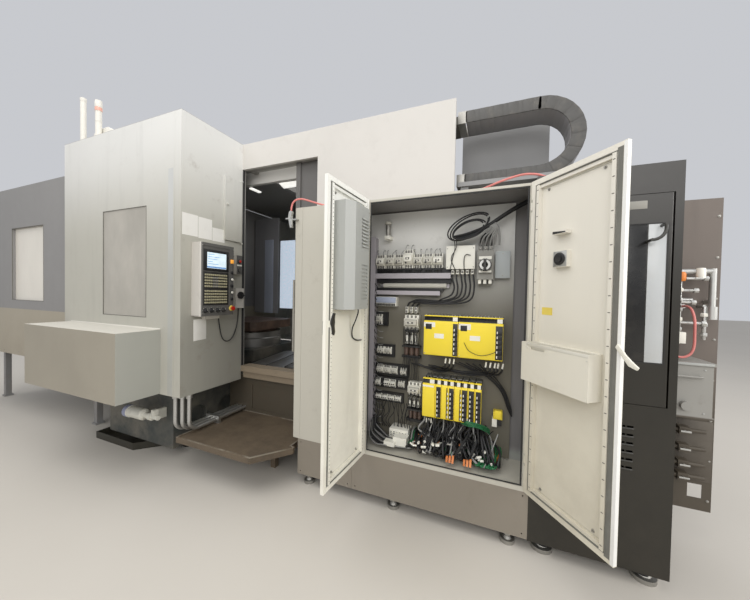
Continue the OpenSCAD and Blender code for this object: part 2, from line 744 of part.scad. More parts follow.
module magazine_housing() {
  t = 5;
  color("black") difference() {
    span([mag_x, mag_x1], [mag_y, mag_y1], [mag_z, mag_top]);
    span([mag_x + t, mag_x1 - t], [mag_y + t, mag_y1 - t], [mag_z + t, mag_top - t]);
    span([mag_door_x1 - mag_door_w - 3, mag_door_x1 + 3], [mag_y - 1, mag_y + t + 1],
      [mag_door_z0 - 3, mag_door_z1 + 3]);
    for (i = [0:5], j = [0:1]) span([mag_x1 - 245 + j * 36, mag_x1 - 215 + j * 36],
      [mag_y - 1, mag_y + t + 1], [645 + i * 46, 663 + i * 46]);
    span([mag_x - 1, mag_x + t + 1], [mag_y1 - 480, mag_y1 - 120], [2160, 2300]);
  }
  color("black") for (side = [0, 1]) {
    z = side == 0 ? mag_door_z0 - 15 : mag_door_z1 + 3;
    span([mag_pin_x - 12, mag_pin_x + 12], [mag_y, mag_y + 24], [z, z + 12]);
    bar_z([mag_pin_x, mag_y + 11, side == 0 ? z : z - 30], 5, 42);
  }
  color("black") difference() {
    span([disc_x + 150, mag_x1 - t], [mag_axis_y - 90, mag_axis_y + 90], [mag_z + t, mag_axis_z + 90]);
    bar_x([disc_x + 140, mag_axis_y, mag_axis_z], 45 + run_gap, 200);
  }
}

module magazine_door() {
  x0 = mag_door_x1 - mag_door_w;
  rim = 26;
  hold_x = mag_door_x1 - 108;
  hold_z = 1972;
  color("black") {
    difference() {
      union() {
        span([x0, mag_pin_x], [mag_y, mag_y + 22], [mag_door_z0, mag_door_z1]);
        bar_z([mag_pin_x, mag_y + 11, mag_door_z0], 11, mag_door_z1 - mag_door_z0);
      }
      span([x0 + rim + 10, mag_door_x1 - rim], [mag_y - 1, mag_y + 23], [1253, 2008]);
      for (z = [mag_door_z0 - 1, mag_door_z1 - 35])
        bar_z([mag_pin_x, mag_y + 11, z], 5 + run_gap, 36);
    }
    span([x0 + rim + 10, mag_door_x1 - rim], [mag_y + 4, mag_y + 10], [1253, 2008]);
  }
  color("dimgray") {
    for (p = [[hold_x + 58, hold_z + 24], [hold_x, hold_z - 58]])
      bar_y([p[0], mag_y - 56, p[1]], 8, 60);
    bar_z([hold_x + 58, mag_y - 48, hold_z], 8, 24);
    translate([hold_x, mag_y - 48, hold_z]) rotate([90, 0, 0]) intersection() {
      rotate_extrude() translate([58, 0]) circle(r = 8);
      translate([0, -100, -20]) cube([100, 100, 40]);
    }
  }
}

module magazine_disc() {
  color("gray") difference() {
    union() {
      bar_x([disc_x, mag_axis_y, mag_axis_z], pot_circle + pot_r + 8, 24);
      bar_x([disc_x + 20, mag_axis_y, mag_axis_z], 90, 60);
      bar_x([disc_x + 60, mag_axis_y, mag_axis_z], 45, 224);
    }
    for (i = [0:pot_count - 1]) translate([disc_x - 1, mag_axis_y, mag_axis_z])
      rotate([i * 360 / pot_count, 0, 0]) translate([0, 0, pot_circle])
      rotate([0, 90, 0]) cylinder(r = pot_r - 10, h = 30, $fn = 32);
    for (i = [0:4]) translate([disc_x - 1, mag_axis_y, mag_axis_z])
      rotate([i * 72, 0, 0]) translate([0, 0, pot_circle * 0.55])
      rotate([0, 90, 0]) cylinder(r = 60, h = 30);
  }
}

module tool_holders() {
  tools = [0, 1, 2, 4, 5, 7, 8, 10, 12, 13, 15, 16, 18];
  color("silver") for (i = tools) if (i < pot_count)
    translate([disc_x, mag_axis_y, mag_axis_z]) rotate([i * 360 / pot_count, 0, 0])
      translate([0, 0, pot_circle]) rotate([0, -90, 0]) rotate_extrude($fn = 32)
      polygon([[0, -22], [12, -22], [pot_r - 14, -2], [pot_r - 14, 0], [pot_r, 0], [pot_r, 18],
        [pot_r - 8, 22], [pot_r - 8, 26], [pot_r, 30], [pot_r, 40], [24, 46],
        [22 + (i % 3) * 4, 90 + (i % 4) * 20], [10 + (i % 3) * 4, 92 + (i % 4) * 20],
        [10 + (i % 3) * 4, 150 + (i % 5) * 22], [0, 150 + (i % 5) * 22]]);
}

module cabinet_shell() {
  cabinet_plinth();
  t = 4;
  inner_x = plate_x0 - 12;
  seam = cab_x + 64;
  lip = 18;
  color("gainsboro") {
    difference() {
      span([cab_x, cab_x1], [cab_y, cab_y1], [cab_z, cab_top]);
      span([cab_x + t, inner_x - t], [cab_y + t, cab_y1 - t], [cab_z + t, cab_top - t]);
      span([inner_x, cab_x1 - t], [cab_y + t, cab_y1 - t], [cab_z + t, cab_top - t]);
      span([door_x, door_x1], [cab_y - 1, cab_y + t + 1], [opening_z0, opening_z1]);
      span([seam, seam + 4], [cab_y - 1, cab_y + 2], [cab_z - 1, cab_top + 1]);
      span([door_x - 34, door_x - 30], [cab_y - 1, cab_y + 2], [cab_z - 1, cab_top + 1]);
      span([cab_x1 - 305, cab_x1 - 105], [cab_y1 - t - 1, cab_y1 + 1], [2190, 2260]);
      span([inner_x - t - 1, inner_x + 1], [cab_y + 120, cab_y + 220], [2150, 2230]);
    }
    for (px = [cab_x + 270, cab_x + 870, cab_x1 - 305]) span([px, px + 60], [cab_y1, -row_half], [430, 530]);
    difference() {
      span([door_x - t, door_x1 + t], [cab_y + t, cab_y + t + lip], [opening_z0 - t, opening_z1 + t]);
      span([door_x, door_x1], [cab_y, cab_y + t + lip + 1], [opening_z0, opening_z1]);
    }
  }
  color("silver") for (side = [0, 1], z = [opening_z0 + 150, opening_z1 - 170]) {
    hx = side == 0 ? hinge_left_x : hinge_right_x;
    bar_z([hx, hinge_y, z], 5, 70);
    span([hx - 6, hx + 6], [hinge_y + 3, cab_y], [z, z + 12]);
    span([hx - 6, hx + 6], [hinge_y + 3, cab_y], [z + 58, z + 70]);
  }
}

module cabinet_plinth() {
  x0 = cab_x + 48;
  z0 = 85;
  seam = 1680;
  color("gray") difference() {
    span([x0, cab_x1], [cab_y, cab_y1 - 10], [z0, cab_z]);
    span([x0 + 5, cab_x1 - 5], [cab_y + 5, cab_y1 - 15], [z0 + 22, cab_z - 5]);
    span([x0 + 70, cab_x1 - 70], [cab_y + 70, cab_y1 - 80], [z0 - 1, z0 + 23]);
    span([seam, seam + 4], [cab_y - 1, cab_y + 2], [z0 - 1, cab_z + 1]);
    for (px = [x0 + 30, seam - 30, seam + 34, cab_x1 - 30], pz = [z0 + 28, cab_z - 28])
      bar_y([px, cab_y - 1, pz], 5, 8);
  }
}

module mounting_plate() {
  t = 3;
  duct_d = 80;
  duct_x0 = plate_x0 + 8;
  duct_x1 = duct_x0 + 72;
  color("gainsboro") {
    span([plate_x0, plate_x1], [plate_y, plate_y + t], [cab_z + 14, cab_top - 16]);
    for (px = [plate_x0 + 40, plate_x1 - 40], pz = [cab_z + 60, cab_top - 60])
      bar_y([px, plate_y + t, pz], 10, cab_y1 - 4 - plate_y - t);
  }
  color("thistle") {
    duct_run([duct_x0, duct_x1], [430, 2080], duct_d);
    duct_run([duct_x1 + 2, 2359], [1730, 1772], duct_d - 10);
    duct_run([duct_x1 + 2, 2280], [1597, 1630], duct_d - 10);
  }
  color("gray") span([duct_x1 + 40, 2345], [plate_y - 22, plate_y], [1655, 1690]);
}

// A wiring duct: a channel on the plate with a lid that overhangs its walls
module duct_run(x, z, d) {
  span([x[0] + 3, x[1] - 3], [plate_y - d + 10, plate_y], [z[0] + 3, z[1] - 3]);
  span(x, [plate_y - d, plate_y - d + 10], z);
}

// A rail mounted device: stepped in profile, with its deepest part in the middle
module device(x0, z0, w, h, d) {
  along_x(x0, x0 + w) polygon([[plate_y, z0], [plate_y - d * 0.55, z0], [plate_y - d * 0.55, z0 + h * 0.22],
    [plate_y - d * 0.8, z0 + h * 0.24], [plate_y - d, z0 + h * 0.34], [plate_y - d, z0 + h * 0.66],
    [plate_y - d * 0.8, z0 + h * 0.76], [plate_y - d * 0.55, z0 + h * 0.78],
    [plate_y - d * 0.55, z0 + h], [plate_y, z0 + h]]);
}

module switchgear() {
  row_x = 1742;
  pitch = 80;
  color("whitesmoke") {
    for (i = [0:6]) device(row_x + i * pitch, 1815, 74, i == 3 ? 150 : 112, 95);
    span([2325, 2535], [plate_y - 85, plate_y - 82], [1800, 1975]);
    for (px = [2330, 2520], pz = [1810, 1950]) span([px, px + 10], [plate_y - 82, plate_y], [pz, pz + 10]);
    for (i = [0:4]) span([2364 + i * 36, 2384 + i * 36], [plate_y - 70, plate_y], [1762, 1795]);
    span([2676, 2776], [plate_y - 50, plate_y - 46], [1732, 1929]);
    for (pz = [1745, 1905]) span([2720, 2732], [plate_y - 46, plate_y], [pz, pz + 12]);
    device(2000, 1316, 116, 118, 110);
    device(2042, 785, 104, 104, 110);
    for (i = [0:2]) {
      span([2006 + i * 38, 2026 + i * 38], [plate_y - 70, plate_y], [1450, 1500]);
      span([2010 + i * 38, 2030 + i * 38], [plate_y - 60, plate_y], [1200, 1290]);
      span([2045 + i * 34, 2063 + i * 34], [plate_y - 60, plate_y], [690, 760]);
    }
    device(1745, 1347, 50, 82, 75);
    device(1757, 1095, 62, 60, 70);
    device(1825, 1095, 58, 60, 70);
    for (i = [0:2]) device(1757 + i * 62, 930, 56, 66, 70);
    device(1967, 930, 48, 60, 70);
    device(1745, 818, 42, 64, 70);
    device(1824, 818, 48, 64, 70);
    device(1876, 818, 48, 64, 70);
    device(1950, 826, 50, 54, 70);
    for (i = [0:3]) device(1748 + i * 58, 700, 50, 52, 60);
    device(1745, 1500, 180, 78, 75);
    span([1906, 2063], [plate_y - 130, plate_y], [434, 508]);
    span([2664, 2746], [plate_y - 70, plate_y], [640, 768]);
  }
  color("peru") {
    for (i = [0:2]) bar_z([2012 + i * 44, plate_y - 45, 1105], 20, 70);
    span([1990, 2120], [plate_y - 60, plate_y], [1085, 1105]);
    for (i = [0:2]) bar_z([2058 + i * 38, plate_y - 45, 590], 17, 70);
    span([2038, 2155], [plate_y - 60, plate_y], [570, 590]);
  }
  color("silver") {
    bar_z([1838, plate_y - 55, 2085], 20, 90);
    bar_z([1838, plate_y - 55, 2175], 27, 30);
    span([1815, 1861], [plate_y - 80, plate_y], [2055, 2085]);
  }
}

// A drive module: body, dark shoulder, connector field and fins on top
module drive(x0, z0, w, h, d, field) {
  span([x0, x0 + w], [plate_y - d, plate_y], [z0 + 20, z0 + h - 46]);
  span([x0, x0 + w], [plate_y - d + 24, plate_y], [z0 + h - 46, z0 + h - 14]);
  span([x0, x0 + w], [plate_y - d * 0.5, plate_y], [z0, z0 + 20]);
  for (i = [0:floor(w / 24) - 1])
    span([x0 + 4 + i * 24, x0 + 18 + i * 24], [plate_y - d + 40, plate_y], [z0 + h - 14, z0 + h]);
  if (field > 0) for (i = [0:floor(h / 60) - 2])
    span([x0 + w - field + 6, x0 + w - 6], [plate_y - d - 8, plate_y - d],
      [z0 + 40 + i * 50, z0 + 76 + i * 50]);
}

module servo_drives() {
  color("gold") {
    drive(2187, 1129, 252, 325, 185, 40);
    drive(2441, 1129, 300, 325, 185, 52);
    drive(2187, 658, 94, 320, 185, 0);
    for (i = [0:6]) drive(2282 + i * 47, 658, 46, 320, 185, i % 2 == 0 ? 44 : 0);
  }
}

module main_breaker() {
  x0 = 2553;
  w = 112;
  color("dimgray") difference() {
    union() {
      span([x0, x0 + w], [plate_y - 105, plate_y], [1720, 1930]);
      span([x0 + 12, x0 + w - 12], [plate_y - 125, plate_y - 105], [1765, 1880]);
      for (i = [0:2]) {
        span([x0 + 6 + i * 36, x0 + 32 + i * 36], [plate_y - 80, plate_y], [1930, 1965]);
        span([x0 + 6 + i * 36, x0 + 32 + i * 36], [plate_y - 80, plate_y], [1685, 1720]);
      }
    }
    bar_y([breaker_x, plate_y - 130, breaker_z], 10 + run_gap, 60);
  }
}

module breaker_knob() {
  color("black") {
    difference() {
      bar_y([breaker_x, plate_y - 160, breaker_z], 44, 32);
      for (i = [0:11]) translate([breaker_x, plate_y - 161, breaker_z]) rotate([0, i * 30, 0])
        translate([46, 0, 0]) rotate([-90, 0, 0]) cylinder(r = 5, h = 34, $fn = 16);
    }
    bar_y([breaker_x, plate_y - 128, breaker_z], 10, 40);
    span([breaker_x - 9, breaker_x + 9], [plate_y - 182, plate_y - 160], [breaker_z - 36, breaker_z + 36]);
  }
}

module cabinet_wiring() {
  y = plate_y;
  color("black") {
    tube([[cab_x1 - 4, y - 70, 2248], [2860, y - 70, 2248], [2790, y - 74, 2205], [2720, y - 78, 2150],
      [2665, y - 78, 2095], [2625, y - 66, 2045], [2608, y - 44, 2000], [2608, y - 44, 1965]], 26);
    for (k = [0:2]) tube([[2572 + k * 36, y - 40, 1685], [2572 + k * 36, y - 40, 1640],
      [2572 + k * 34, y - 34, 1590], [2560 + k * 30, y - 26, 1530], [2550 + k * 26, y - 20, 1470],
      [2550 + k * 26, y - 13, 1462]], 12);
    for (k = [0:2]) tube([[2374 + k * 36, y - 40, 1762], [2374 + k * 36, y - 40, 1715],
      [2350 + k * 24, y - 60, 1640 - k * 6], [2306 + k * 14, y - 70 - k * 6, 1572 - k * 12],
      [2240 + k * 12, y - 75 - k * 6, 1552 - k * 12], [2110, y - 75 - k * 6, 1545 - k * 10],
      [2024 + k * 36, y - 50, 1532 - k * 6], [2016 + k * 38, y - 36, 1512],
      [2016 + k * 38, y - 36, 1500]], 6, 6);
    for (k = [0:1]) translate([2450 - k * 14, y - 105 - k * 16, 2075 + k * 10])
      rotate([70, 0, 12]) scale([1.25, 1, 1]) rotate_extrude() translate([88, 0]) circle(r = 7, $fn = 12);
    span([2432, 2462], [y - 150, y], [2146, 2176]);
    for (k = [0:5]) tube([[2305 + k * 47, y - 60, 658], [2305 + k * 47, y - 60, 620],
      [2290 + k * 50, y - 90, 560], [2276 + k * 54, y - 110 - (k % 3) * 22, 500],
      [2270 + k * 58, y - 60, 440], [2270 + k * 58, y - 8, 420]], 8, 6);
    for (k = [0:3]) tube([[1702, y - 80, 560 - k * 16], [1702, y - 100 - k * 16, 560 - k * 16],
      [1850, y - 146 - k * 16, 500 - k * 12],
      [2080, y - 162 - k * 14, 470 - k * 12], [2300, y - 166 - k * 18, 462 - k * 10],
      [2560, y - 166 - k * 18, 462 - k * 10], [2740, y - 110 - k * 12, 470 - k * 12],
      [2770, y - 60, 480 - k * 12], [2770, y, 480 - k * 12]], 11, 6);
  }
}

// A cabinet door in its own frame: the hinge on the z axis, the leaf along +x, the inside towards +y
module door_leaf(len) {
  h = leaf_z1 - leaf_z0;
  skin = 2;
  rim = 30;
  rail = 18;
  translate([0, 0, leaf_z0]) difference() {
    union() {
      difference() {
        span([leaf_x0, len], [-door_t / 2, door_t / 2], [0, h]);
        span([leaf_x0 + rim, len - rim], [-door_t / 2 + skin, door_t / 2 + 1], [rim, h - rim]);
      }
      for (x = [leaf_x0 + rim + 14, len - rim - 14 - rail])
        span([x, x + rail], [-door_t / 2 + skin - 0.5, door_t / 2 + 6], [rim + 8, h - rim - 8]);
      span([leaf_x0 + rim + 20, len - rim - 20], [-door_t / 2 + skin - 0.5, door_t / 2 - 4],
        [rim + 8, rim + 26]);
      span([leaf_x0 + rim + 20, len - rim - 20], [-door_t / 2 + skin - 0.5, door_t / 2 - 4],
        [h - rim - 26, h - rim - 8]);
    }
    for (z = [opening_z0 + 150, opening_z1 - 170])
      span([leaf_x0 - 1, leaf_x0 + 10], [-door_t / 2 - 1, door_t / 2 + 1],
        [z - leaf_z0 - 3, z - leaf_z0 + 73]);
  }
  for (z = [opening_z0 + 150, opening_z1 - 170]) difference() {
    union() {
      bar_z([0, 0, z + 12 + slide_gap], 9, 46 - 2 * slide_gap);
      span([0, leaf_x0 + 12], [-5, 5], [z + 12 + slide_gap, z + 58 - slide_gap]);
    }
    bar_z([0, 0, z], 5 + run_gap, 80);
  }
}

module left_door_frame() {
  translate([hinge_left_x, hinge_y, 0]) rotate([0, 0, -left_angle]) children();
}

module right_door_frame() {
  translate([hinge_right_x, hinge_y, 0]) rotate([0, 0, right_angle]) mirror([1, 0, 0]) children();
}

// A thick place in a leaf with a bore for a spindle
module bossed_leaf(x, z, w, r) {
  difference() {
    union() {
      door_leaf(leaf_len);
      span([x - w / 2, x + w / 2], [-door_t / 2 + 1, door_t / 2 + 6], [z - w / 2, z + w / 2]);
    }
    bar_y([x, -door_t, z], r + run_gap, 2 * door_t);
  }
}

module cabinet_door_left() {
  color("ivory") left_door_frame() bossed_leaf(latch_x, latch_z, 40, latch_r);
}

module cabinet_door_right() {
  color("ivory") right_door_frame() {
    bossed_leaf(hub_x, hub_z, 88, hub_r);
    span([hub_x - 42, hub_x + 42], [-door_t / 2 + 1, door_t / 2 + 18], [hub_z + 134, hub_z + 152]);
  }
}

// The latch of the left door: a spindle, a grip outside and a curved lever inside
module door_latch() {
  inside = door_t / 2 + 6 + slide_gap;
  outside = -door_t / 2 - slide_gap;
  color("black") left_door_frame() {
    bar_y([latch_x, outside - 24, latch_z], latch_r, inside - outside + 30);
    span([latch_x - 12, latch_x + 12], [outside - 30, outside - 12], [latch_z - 70, latch_z + 14]);
    bar_y([latch_x, outside - 13, latch_z], 22, 13);
    translate([latch_x, inside + 12, latch_z]) rotate([90, 0, 0]) linear_extrude(12) polygon([
      [-16, -14], [-22, -50], [-14, -70], [-4, -60], [4, -20], [16, 0], [16, 14], [2, 44],
      [-12, 66], [-24, 62], [-18, 34], [-20, 8]]);
  }
}

// The rotary switch hub through the right door
module door_hub() {
  inside = door_t / 2 + 6 + slide_gap;
  outside = -door_t / 2 - slide_gap;
  color("black") right_door_frame() {
    bar_y([hub_x, outside - 20, hub_z], hub_r, inside - outside + 34);
    bar_y([hub_x, outside - 24, hub_z], 38, 24);
    span([hub_x - 8, hub_x + 8], [outside - 42, outside - 20], [hub_z - 32, hub_z + 32]);
    bar_y([hub_x, inside, hub_z], 28, 8);
  }
}

module heat_exchanger() {
  x0 = 150;
  x1 = 452;
  y0 = -door_t / 2 + 2;
  color("silver") left_door_frame() difference() {
    translate([0, 0, 1500]) linear_extrude(665) polygon([[x0, y0], [x1, y0], [x1, y0 + 86],
      [x1 - 60, y0 + 126], [x1 - 140, y0 + 126], [x1 - 140, y0 + 118], [x0 + 40, y0 + 118],
      [x0, y0 + 96]]);
    for (i = [0:9]) span([x0 + 60, x0 + 140], [y0 + 112, y0 + 127], [1560 + i * 24, 1572 + i * 24]);
  }
}

module door_pocket() {
  x0 = 34;
  x1 = 452;
  y0 = -door_t / 2 + 2;
  z0 = 1110;
  h = 225;
  d = 88;
  color("white") right_door_frame() difference() {
    span([x0, x1], [y0, y0 + d], [z0, z0 + h]);
    span([x0 + 3, x1 - 3], [y0 + 29, y0 + d - 3], [z0 + 3, z0 + h + 1]);
    span([x0 - 1, 70], [y0 - 1, y0 + 27], [z0 - 1, z0 + h + 1]);
    translate([150, y0 + d - 4, z0 + h + 1]) rotate([-90, 0, 0]) linear_extrude(6)
      polygon([[-64, 0], [64, 0], [46, 38], [-46, 38]]);
  }
}

module control_panel() {
  y1 = panel_y + panel_w;
  edge = 14;
  face = panel_x1 - 6;
  station_y = wall_y - 85;
  color("gray") difference() {
    translate([0, 0, panel_z]) linear_extrude(panel_h) polygon([[block_right, panel_y + 8],
      [panel_x1 - edge, panel_y], [panel_x1, panel_y + edge], [panel_x1, y1 - edge],
      [panel_x1 - edge, y1], [block_right, y1 - 8]]);
    span([face, panel_x1 + 1], [panel_y + 22, y1 - 62], [panel_z + 90, panel_z + panel_h - 26]);
    bar_x([panel_x1 - 70, estop_y, estop_z], 11 + run_gap, 80);
  }
  color("dimgray") {
    span([block_right, block_right + 55], [station_y - 35, station_y + 35], [1770, 1960]);
    for (z = [1810, 1900]) bar_x([block_right + 55, station_y, z], 15, 14);
    difference() {
      span([block_right, block_right + 50], [station_y - 35, station_y + 65], [1430, 1630]);
      bar_x([block_right + 20, station_y + 15, 1560], 6 + run_gap, 40);
    }
    span([block_right, block_right + 45], [panel_y + 110, panel_y + 260], [panel_z - 35, panel_z]);
  }
}

module panel_face() {
  face = panel_x1 - 6;
  key = 15;
  gap = 19;
  color("lightcyan") span([face, face + 3], [panel_y + 60, panel_y + 262], [panel_z + 425, panel_z + 565]);
  color("black") difference() {
    span([face, face + 5], [panel_y + 40, panel_y + 282], [panel_z + 405, panel_z + 585]);
    span([face - 1, face + 6], [panel_y + 59, panel_y + 263], [panel_z + 424, panel_z + 566]);
  }
  color("khaki") {
    span([face, face + 1.5], [panel_y + 40, panel_y + 282], [panel_z + 108, panel_z + 405]);
    for (i = [0:11], j = [0:4]) span([face, face + 4],
      [panel_y + 44 + i * gap, panel_y + 44 + i * gap + key],
      [panel_z + 260 + j * 24, panel_z + 276 + j * 24]);
    for (i = [0:11], j = [0:4]) span([face, face + 4],
      [panel_y + 44 + i * gap, panel_y + 44 + i * gap + key],
      [panel_z + 112 + j * 24, panel_z + 128 + j * 24]);
  }
  color("orange") span([panel_x1, panel_x1 + 12], [panel_y + 306, panel_y + 342],
    [panel_z + 485, panel_z + 525]);
  color("black") {
    for (i = [0:3]) bar_x([panel_x1, panel_y + 45 + i * 62, panel_z + 50], 16, 16);
    for (i = [0:4]) bar_x([panel_x1, panel_y + 326, panel_z + 150 + i * 62], 12, 12);
  }
}

module estop_button() {
  color("red") {
    bar_x([panel_x1 - 40, estop_y, estop_z], 11, 60 + push_travel);
    translate([panel_x1 + 8 + push_travel, estop_y, estop_z]) rotate([0, 90, 0])
      cylinder(r1 = 17, r2 = 20, h = 14);
  }
}

module handwheel() {
  y = wall_y - 70;
  color("black") {
    bar_x([block_right + 25, y, 1560], 6, 40);
    bar_x([block_right + 53, y, 1560], 36, 14);
    bar_x([block_right + 67, y + 24, 1560], 6, 22);
  }
}

module access_cover() {
  hinge_y0 = wall_y - 22;
  color("lightgray") {
    span([block_right + 1, block_right + 19], [hinge_y0 - 208, hinge_y0 - 7], [2100, 2720]);
    bar_z([block_right + 12, hinge_y0, 2086], 4, 648);
    span([block_right + 8, block_right + 16], [hinge_y0 - 10, hinge_y0 - 3], [2140, 2680]);
    bar_x([block_right + 19, hinge_y0 - 180, 2450], 12, 20);
  }
}

module operator_door() {
  x0 = opening_x + op_door_open;
  y0 = wall_y + 78;
  color("dimgray") {
    pan_y(y0, y0 + 28) difference() {
      rect([x0 + 50, sill_z + slide_gap], [x0 + op_door_w, opening_top + 10 - slide_gap]);
      rect([x0 + 200, 1400], [x0 + 760, 2250]);
    }
    span([x0 + 196, x0 + 764], [y0 + 28, y0 + 36], [1396, 2254]);
    difference() {
      span([x0, x0 + 50], [y0 - 15, y0 + 36], [sill_z + slide_gap, opening_top + 10 - slide_gap]);
      span([x0 + 5, x0 + 45], [y0 - 5, y0 + 37], [sill_z, opening_top - 6]);
    }
  }
  color("black") {
    bar_z([x0 + 14, y0 - 46, 1020], 11, 700);
    for (z = [1060, 1680]) bar_y([x0 + 14, y0 - 40, z], 8, 25);
  }
}

module platform() {
  x0 = 110;
  y0 = block_y + 40;
  y1 = wall_y + 102;
  inset = 420;
  outline = [[x0, y0], [950, y0], [1160, y0 + 260], [1160, cab_y - 20], [cab_x - 8, cab_y - 10],
    [cab_x - 8, y1], [x0, y1]];
  z0 = platform_z - platform_t;
  color("saddlebrown") {
    difference() {
      translate([0, 0, z0]) linear_extrude(platform_t) polygon(outline);
      translate([0, 0, platform_z - 8]) linear_extrude(10) offset(delta = -14) polygon(outline);
      translate([0, 0, z0 - 1]) linear_extrude(platform_t - 12) offset(delta = -6) polygon(outline);
    }
    for (p = [[x0 + 80, y0 + inset], [840, y0 + inset], [x0 + 80, y1 - 80], [cab_x - 100, y1 - 80]])
      span([p.x - 25, p.x + 25], [p.y - 25, p.y + 25], [0, platform_z - 11]);
  }
}

module lubricator_box() {
  y0 = util_y - 250;
  x1 = mag_x1 + 274;
  color("gray") {
    span([mag_x1 + 4, x1], [y0, util_y], [912, 1215]);
    span([mag_x1 + 2, x1 + 8], [y0 - 8, util_y], [1215, 1232]);
    bar_x([mag_x1 + 70, y0 - 22, 1150], 6, 150);
    for (px = [76, 214]) bar_y([mag_x1 + px, y0 - 22, 1150], 5, 22);
    bar_y([mag_x1 + 150, y0 - 26, 975], 26, 26);
  }
}

module utility_panel() {
  lubricator_box();
  z0 = 230;
  z1 = 2250;
  hole = [[-119, 310], [-47, 400]];
  rows = [766, 653, 551, 470];
  color("dimgray") {
    difference() {
      span([mag_x1, x_right], [util_y, util_y + 40], [z0, z1]);
      span([mag_x1 + 4, x_right - 4], [util_y + 4, util_y + 41], [z0 + 4, z1 - 4]);
      span([x_right + hole[0][0], x_right + hole[1][0]], [util_y - 1, util_y + 5],
        [hole[0][1], hole[1][1]]);
    }
    span([mag_x1, mag_x1 + 284], [util_y - 250, util_y], [900, 912]);
  }
  color("silver") for (z = rows) {
    bar_x([mag_x1, util_y - 60, z], 13, 340);
    for (px = [110, 230]) {
      bar_y([mag_x1 + px, util_y - 62, z], 11, 62);
      span([mag_x1 + px - 26, mag_x1 + px + 26], [util_y - 86, util_y - 34], [z - 24, z + 24]);
    }
  }
  color("silver") {
    bar_z([mag_x1 + 60, util_y - 60, 330], 14, 130);
    bar_x([mag_x1, util_y - 60, 330], 14, 74);
  }
}

module air_unit() {
  x0 = mag_x1 + 100;
  y = util_y - 70;
  color("silver") {
    difference() {
      span([x0 - 34, x0 + 34], [y - 34, y + 34], [1700, 1860]);
      bar_z([x0, y, 1850], 12, 20);
    }
    bar_z([x0, y, 1640], 30, 60);
    bar_z([x0, y, 1300], 16, 340);
    for (z = [1340, 1440, 1540]) bar_z([x0, y, z], 24, 22);
    span([x0 - 30, x0 + 30], [y + 34, util_y], [1730, 1800]);
    span([x0 - 12, x0 + 12], [y + 16, util_y], [1380, 1404]);
    bar_x([x0 + 34, y, 1780], 17, 206);
    bar_z([x0 + 240, y, 1560], 17, 237);
    bar_z([x0 + 240, y, 1480], 26, 80);
    bar_y([x0 + 240, y + 10, 1590], 12, -y + util_y - 10);
    bar_x([x0 + 16, y, 1600], 12, 130);
    bar_y([3790, y - 20, 1560], 14, util_y - y + 20);
  }
  color("orangered") bar_z([x0, y, 1860], 30, 62);
}

module conduits() {
  z_low = platform_z + 32;
  bend = 90;
  color("gray") for (i = [0:2]) {
    x = 60 + i * 55;
    y = block_y + 70 + i * 25;
    bar_z([x, y, z_low + bend], 17, guard_z - z_low - bend);
    translate([x, y + bend, z_low + bend]) rotate([0, 90, 0]) intersection() {
      rotate_extrude() translate([bend, 0]) circle(r = 17);
      translate([0, -bend - 30, -30]) cube([bend + 30, bend + 30, 60]);
    }
    bar_y([x, y + bend, z_low], 17, wall_y + 103 - y - bend);
    bar_z([x, y, guard_z - 40], 26, 40);
  }
  color("dimgray") difference() {
    union() {
      span([30, 200], [-1260, -1230], [platform_z, z_low + 30]);
      span([130, 200], [-1260, -1230], [platform_z - 8, platform_z + 1]);
    }
    for (i = [0:2]) bar_y([60 + i * 55, -1270, z_low], 17 + run_gap, 50);
  }
}

module signal_tower() {
  x = block_x + 210;
  y = block_y + 195;
  color("white") {
    span([x - 110, x + 210], [y - 35, y + 185], [roof_z, roof_z + 130]);
    bar_z([x, y, roof_z + 130], 38, 30);
    bar_z([x, y, roof_z + 160], 29, 283);
    bar_z([x, y, roof_z + 518], 32, 10);
  }
  color("tomato") bar_z([x, y, roof_z + 443], 31, 75);
}

module air_hose() {
  color("salmon") tube(hose_route, hose_r);
}

// The blow gun, hung on a hook at the fixed panel's top left corner
module air_gun() {
  color("silver") {
    along_y(-1359, -1337) polygon([[1080, 2215], [1100, 2130], [1118, 2134], [1104, 2210],
      [1120, 2262], [1104, 2272], [1088, 2262]]);
    span([1050, 1084], [-1352, -1344], [2205, 2215]);
    span([1106, 1118], [-1352, -1344], [2150, 2226]);
    span([1104, cab_x + 30], [-1350, -1317], [2196, 2204]);
  }
}

module panel_cable() {
  color("black") tube(cord_route, pendant_cord_r);
}

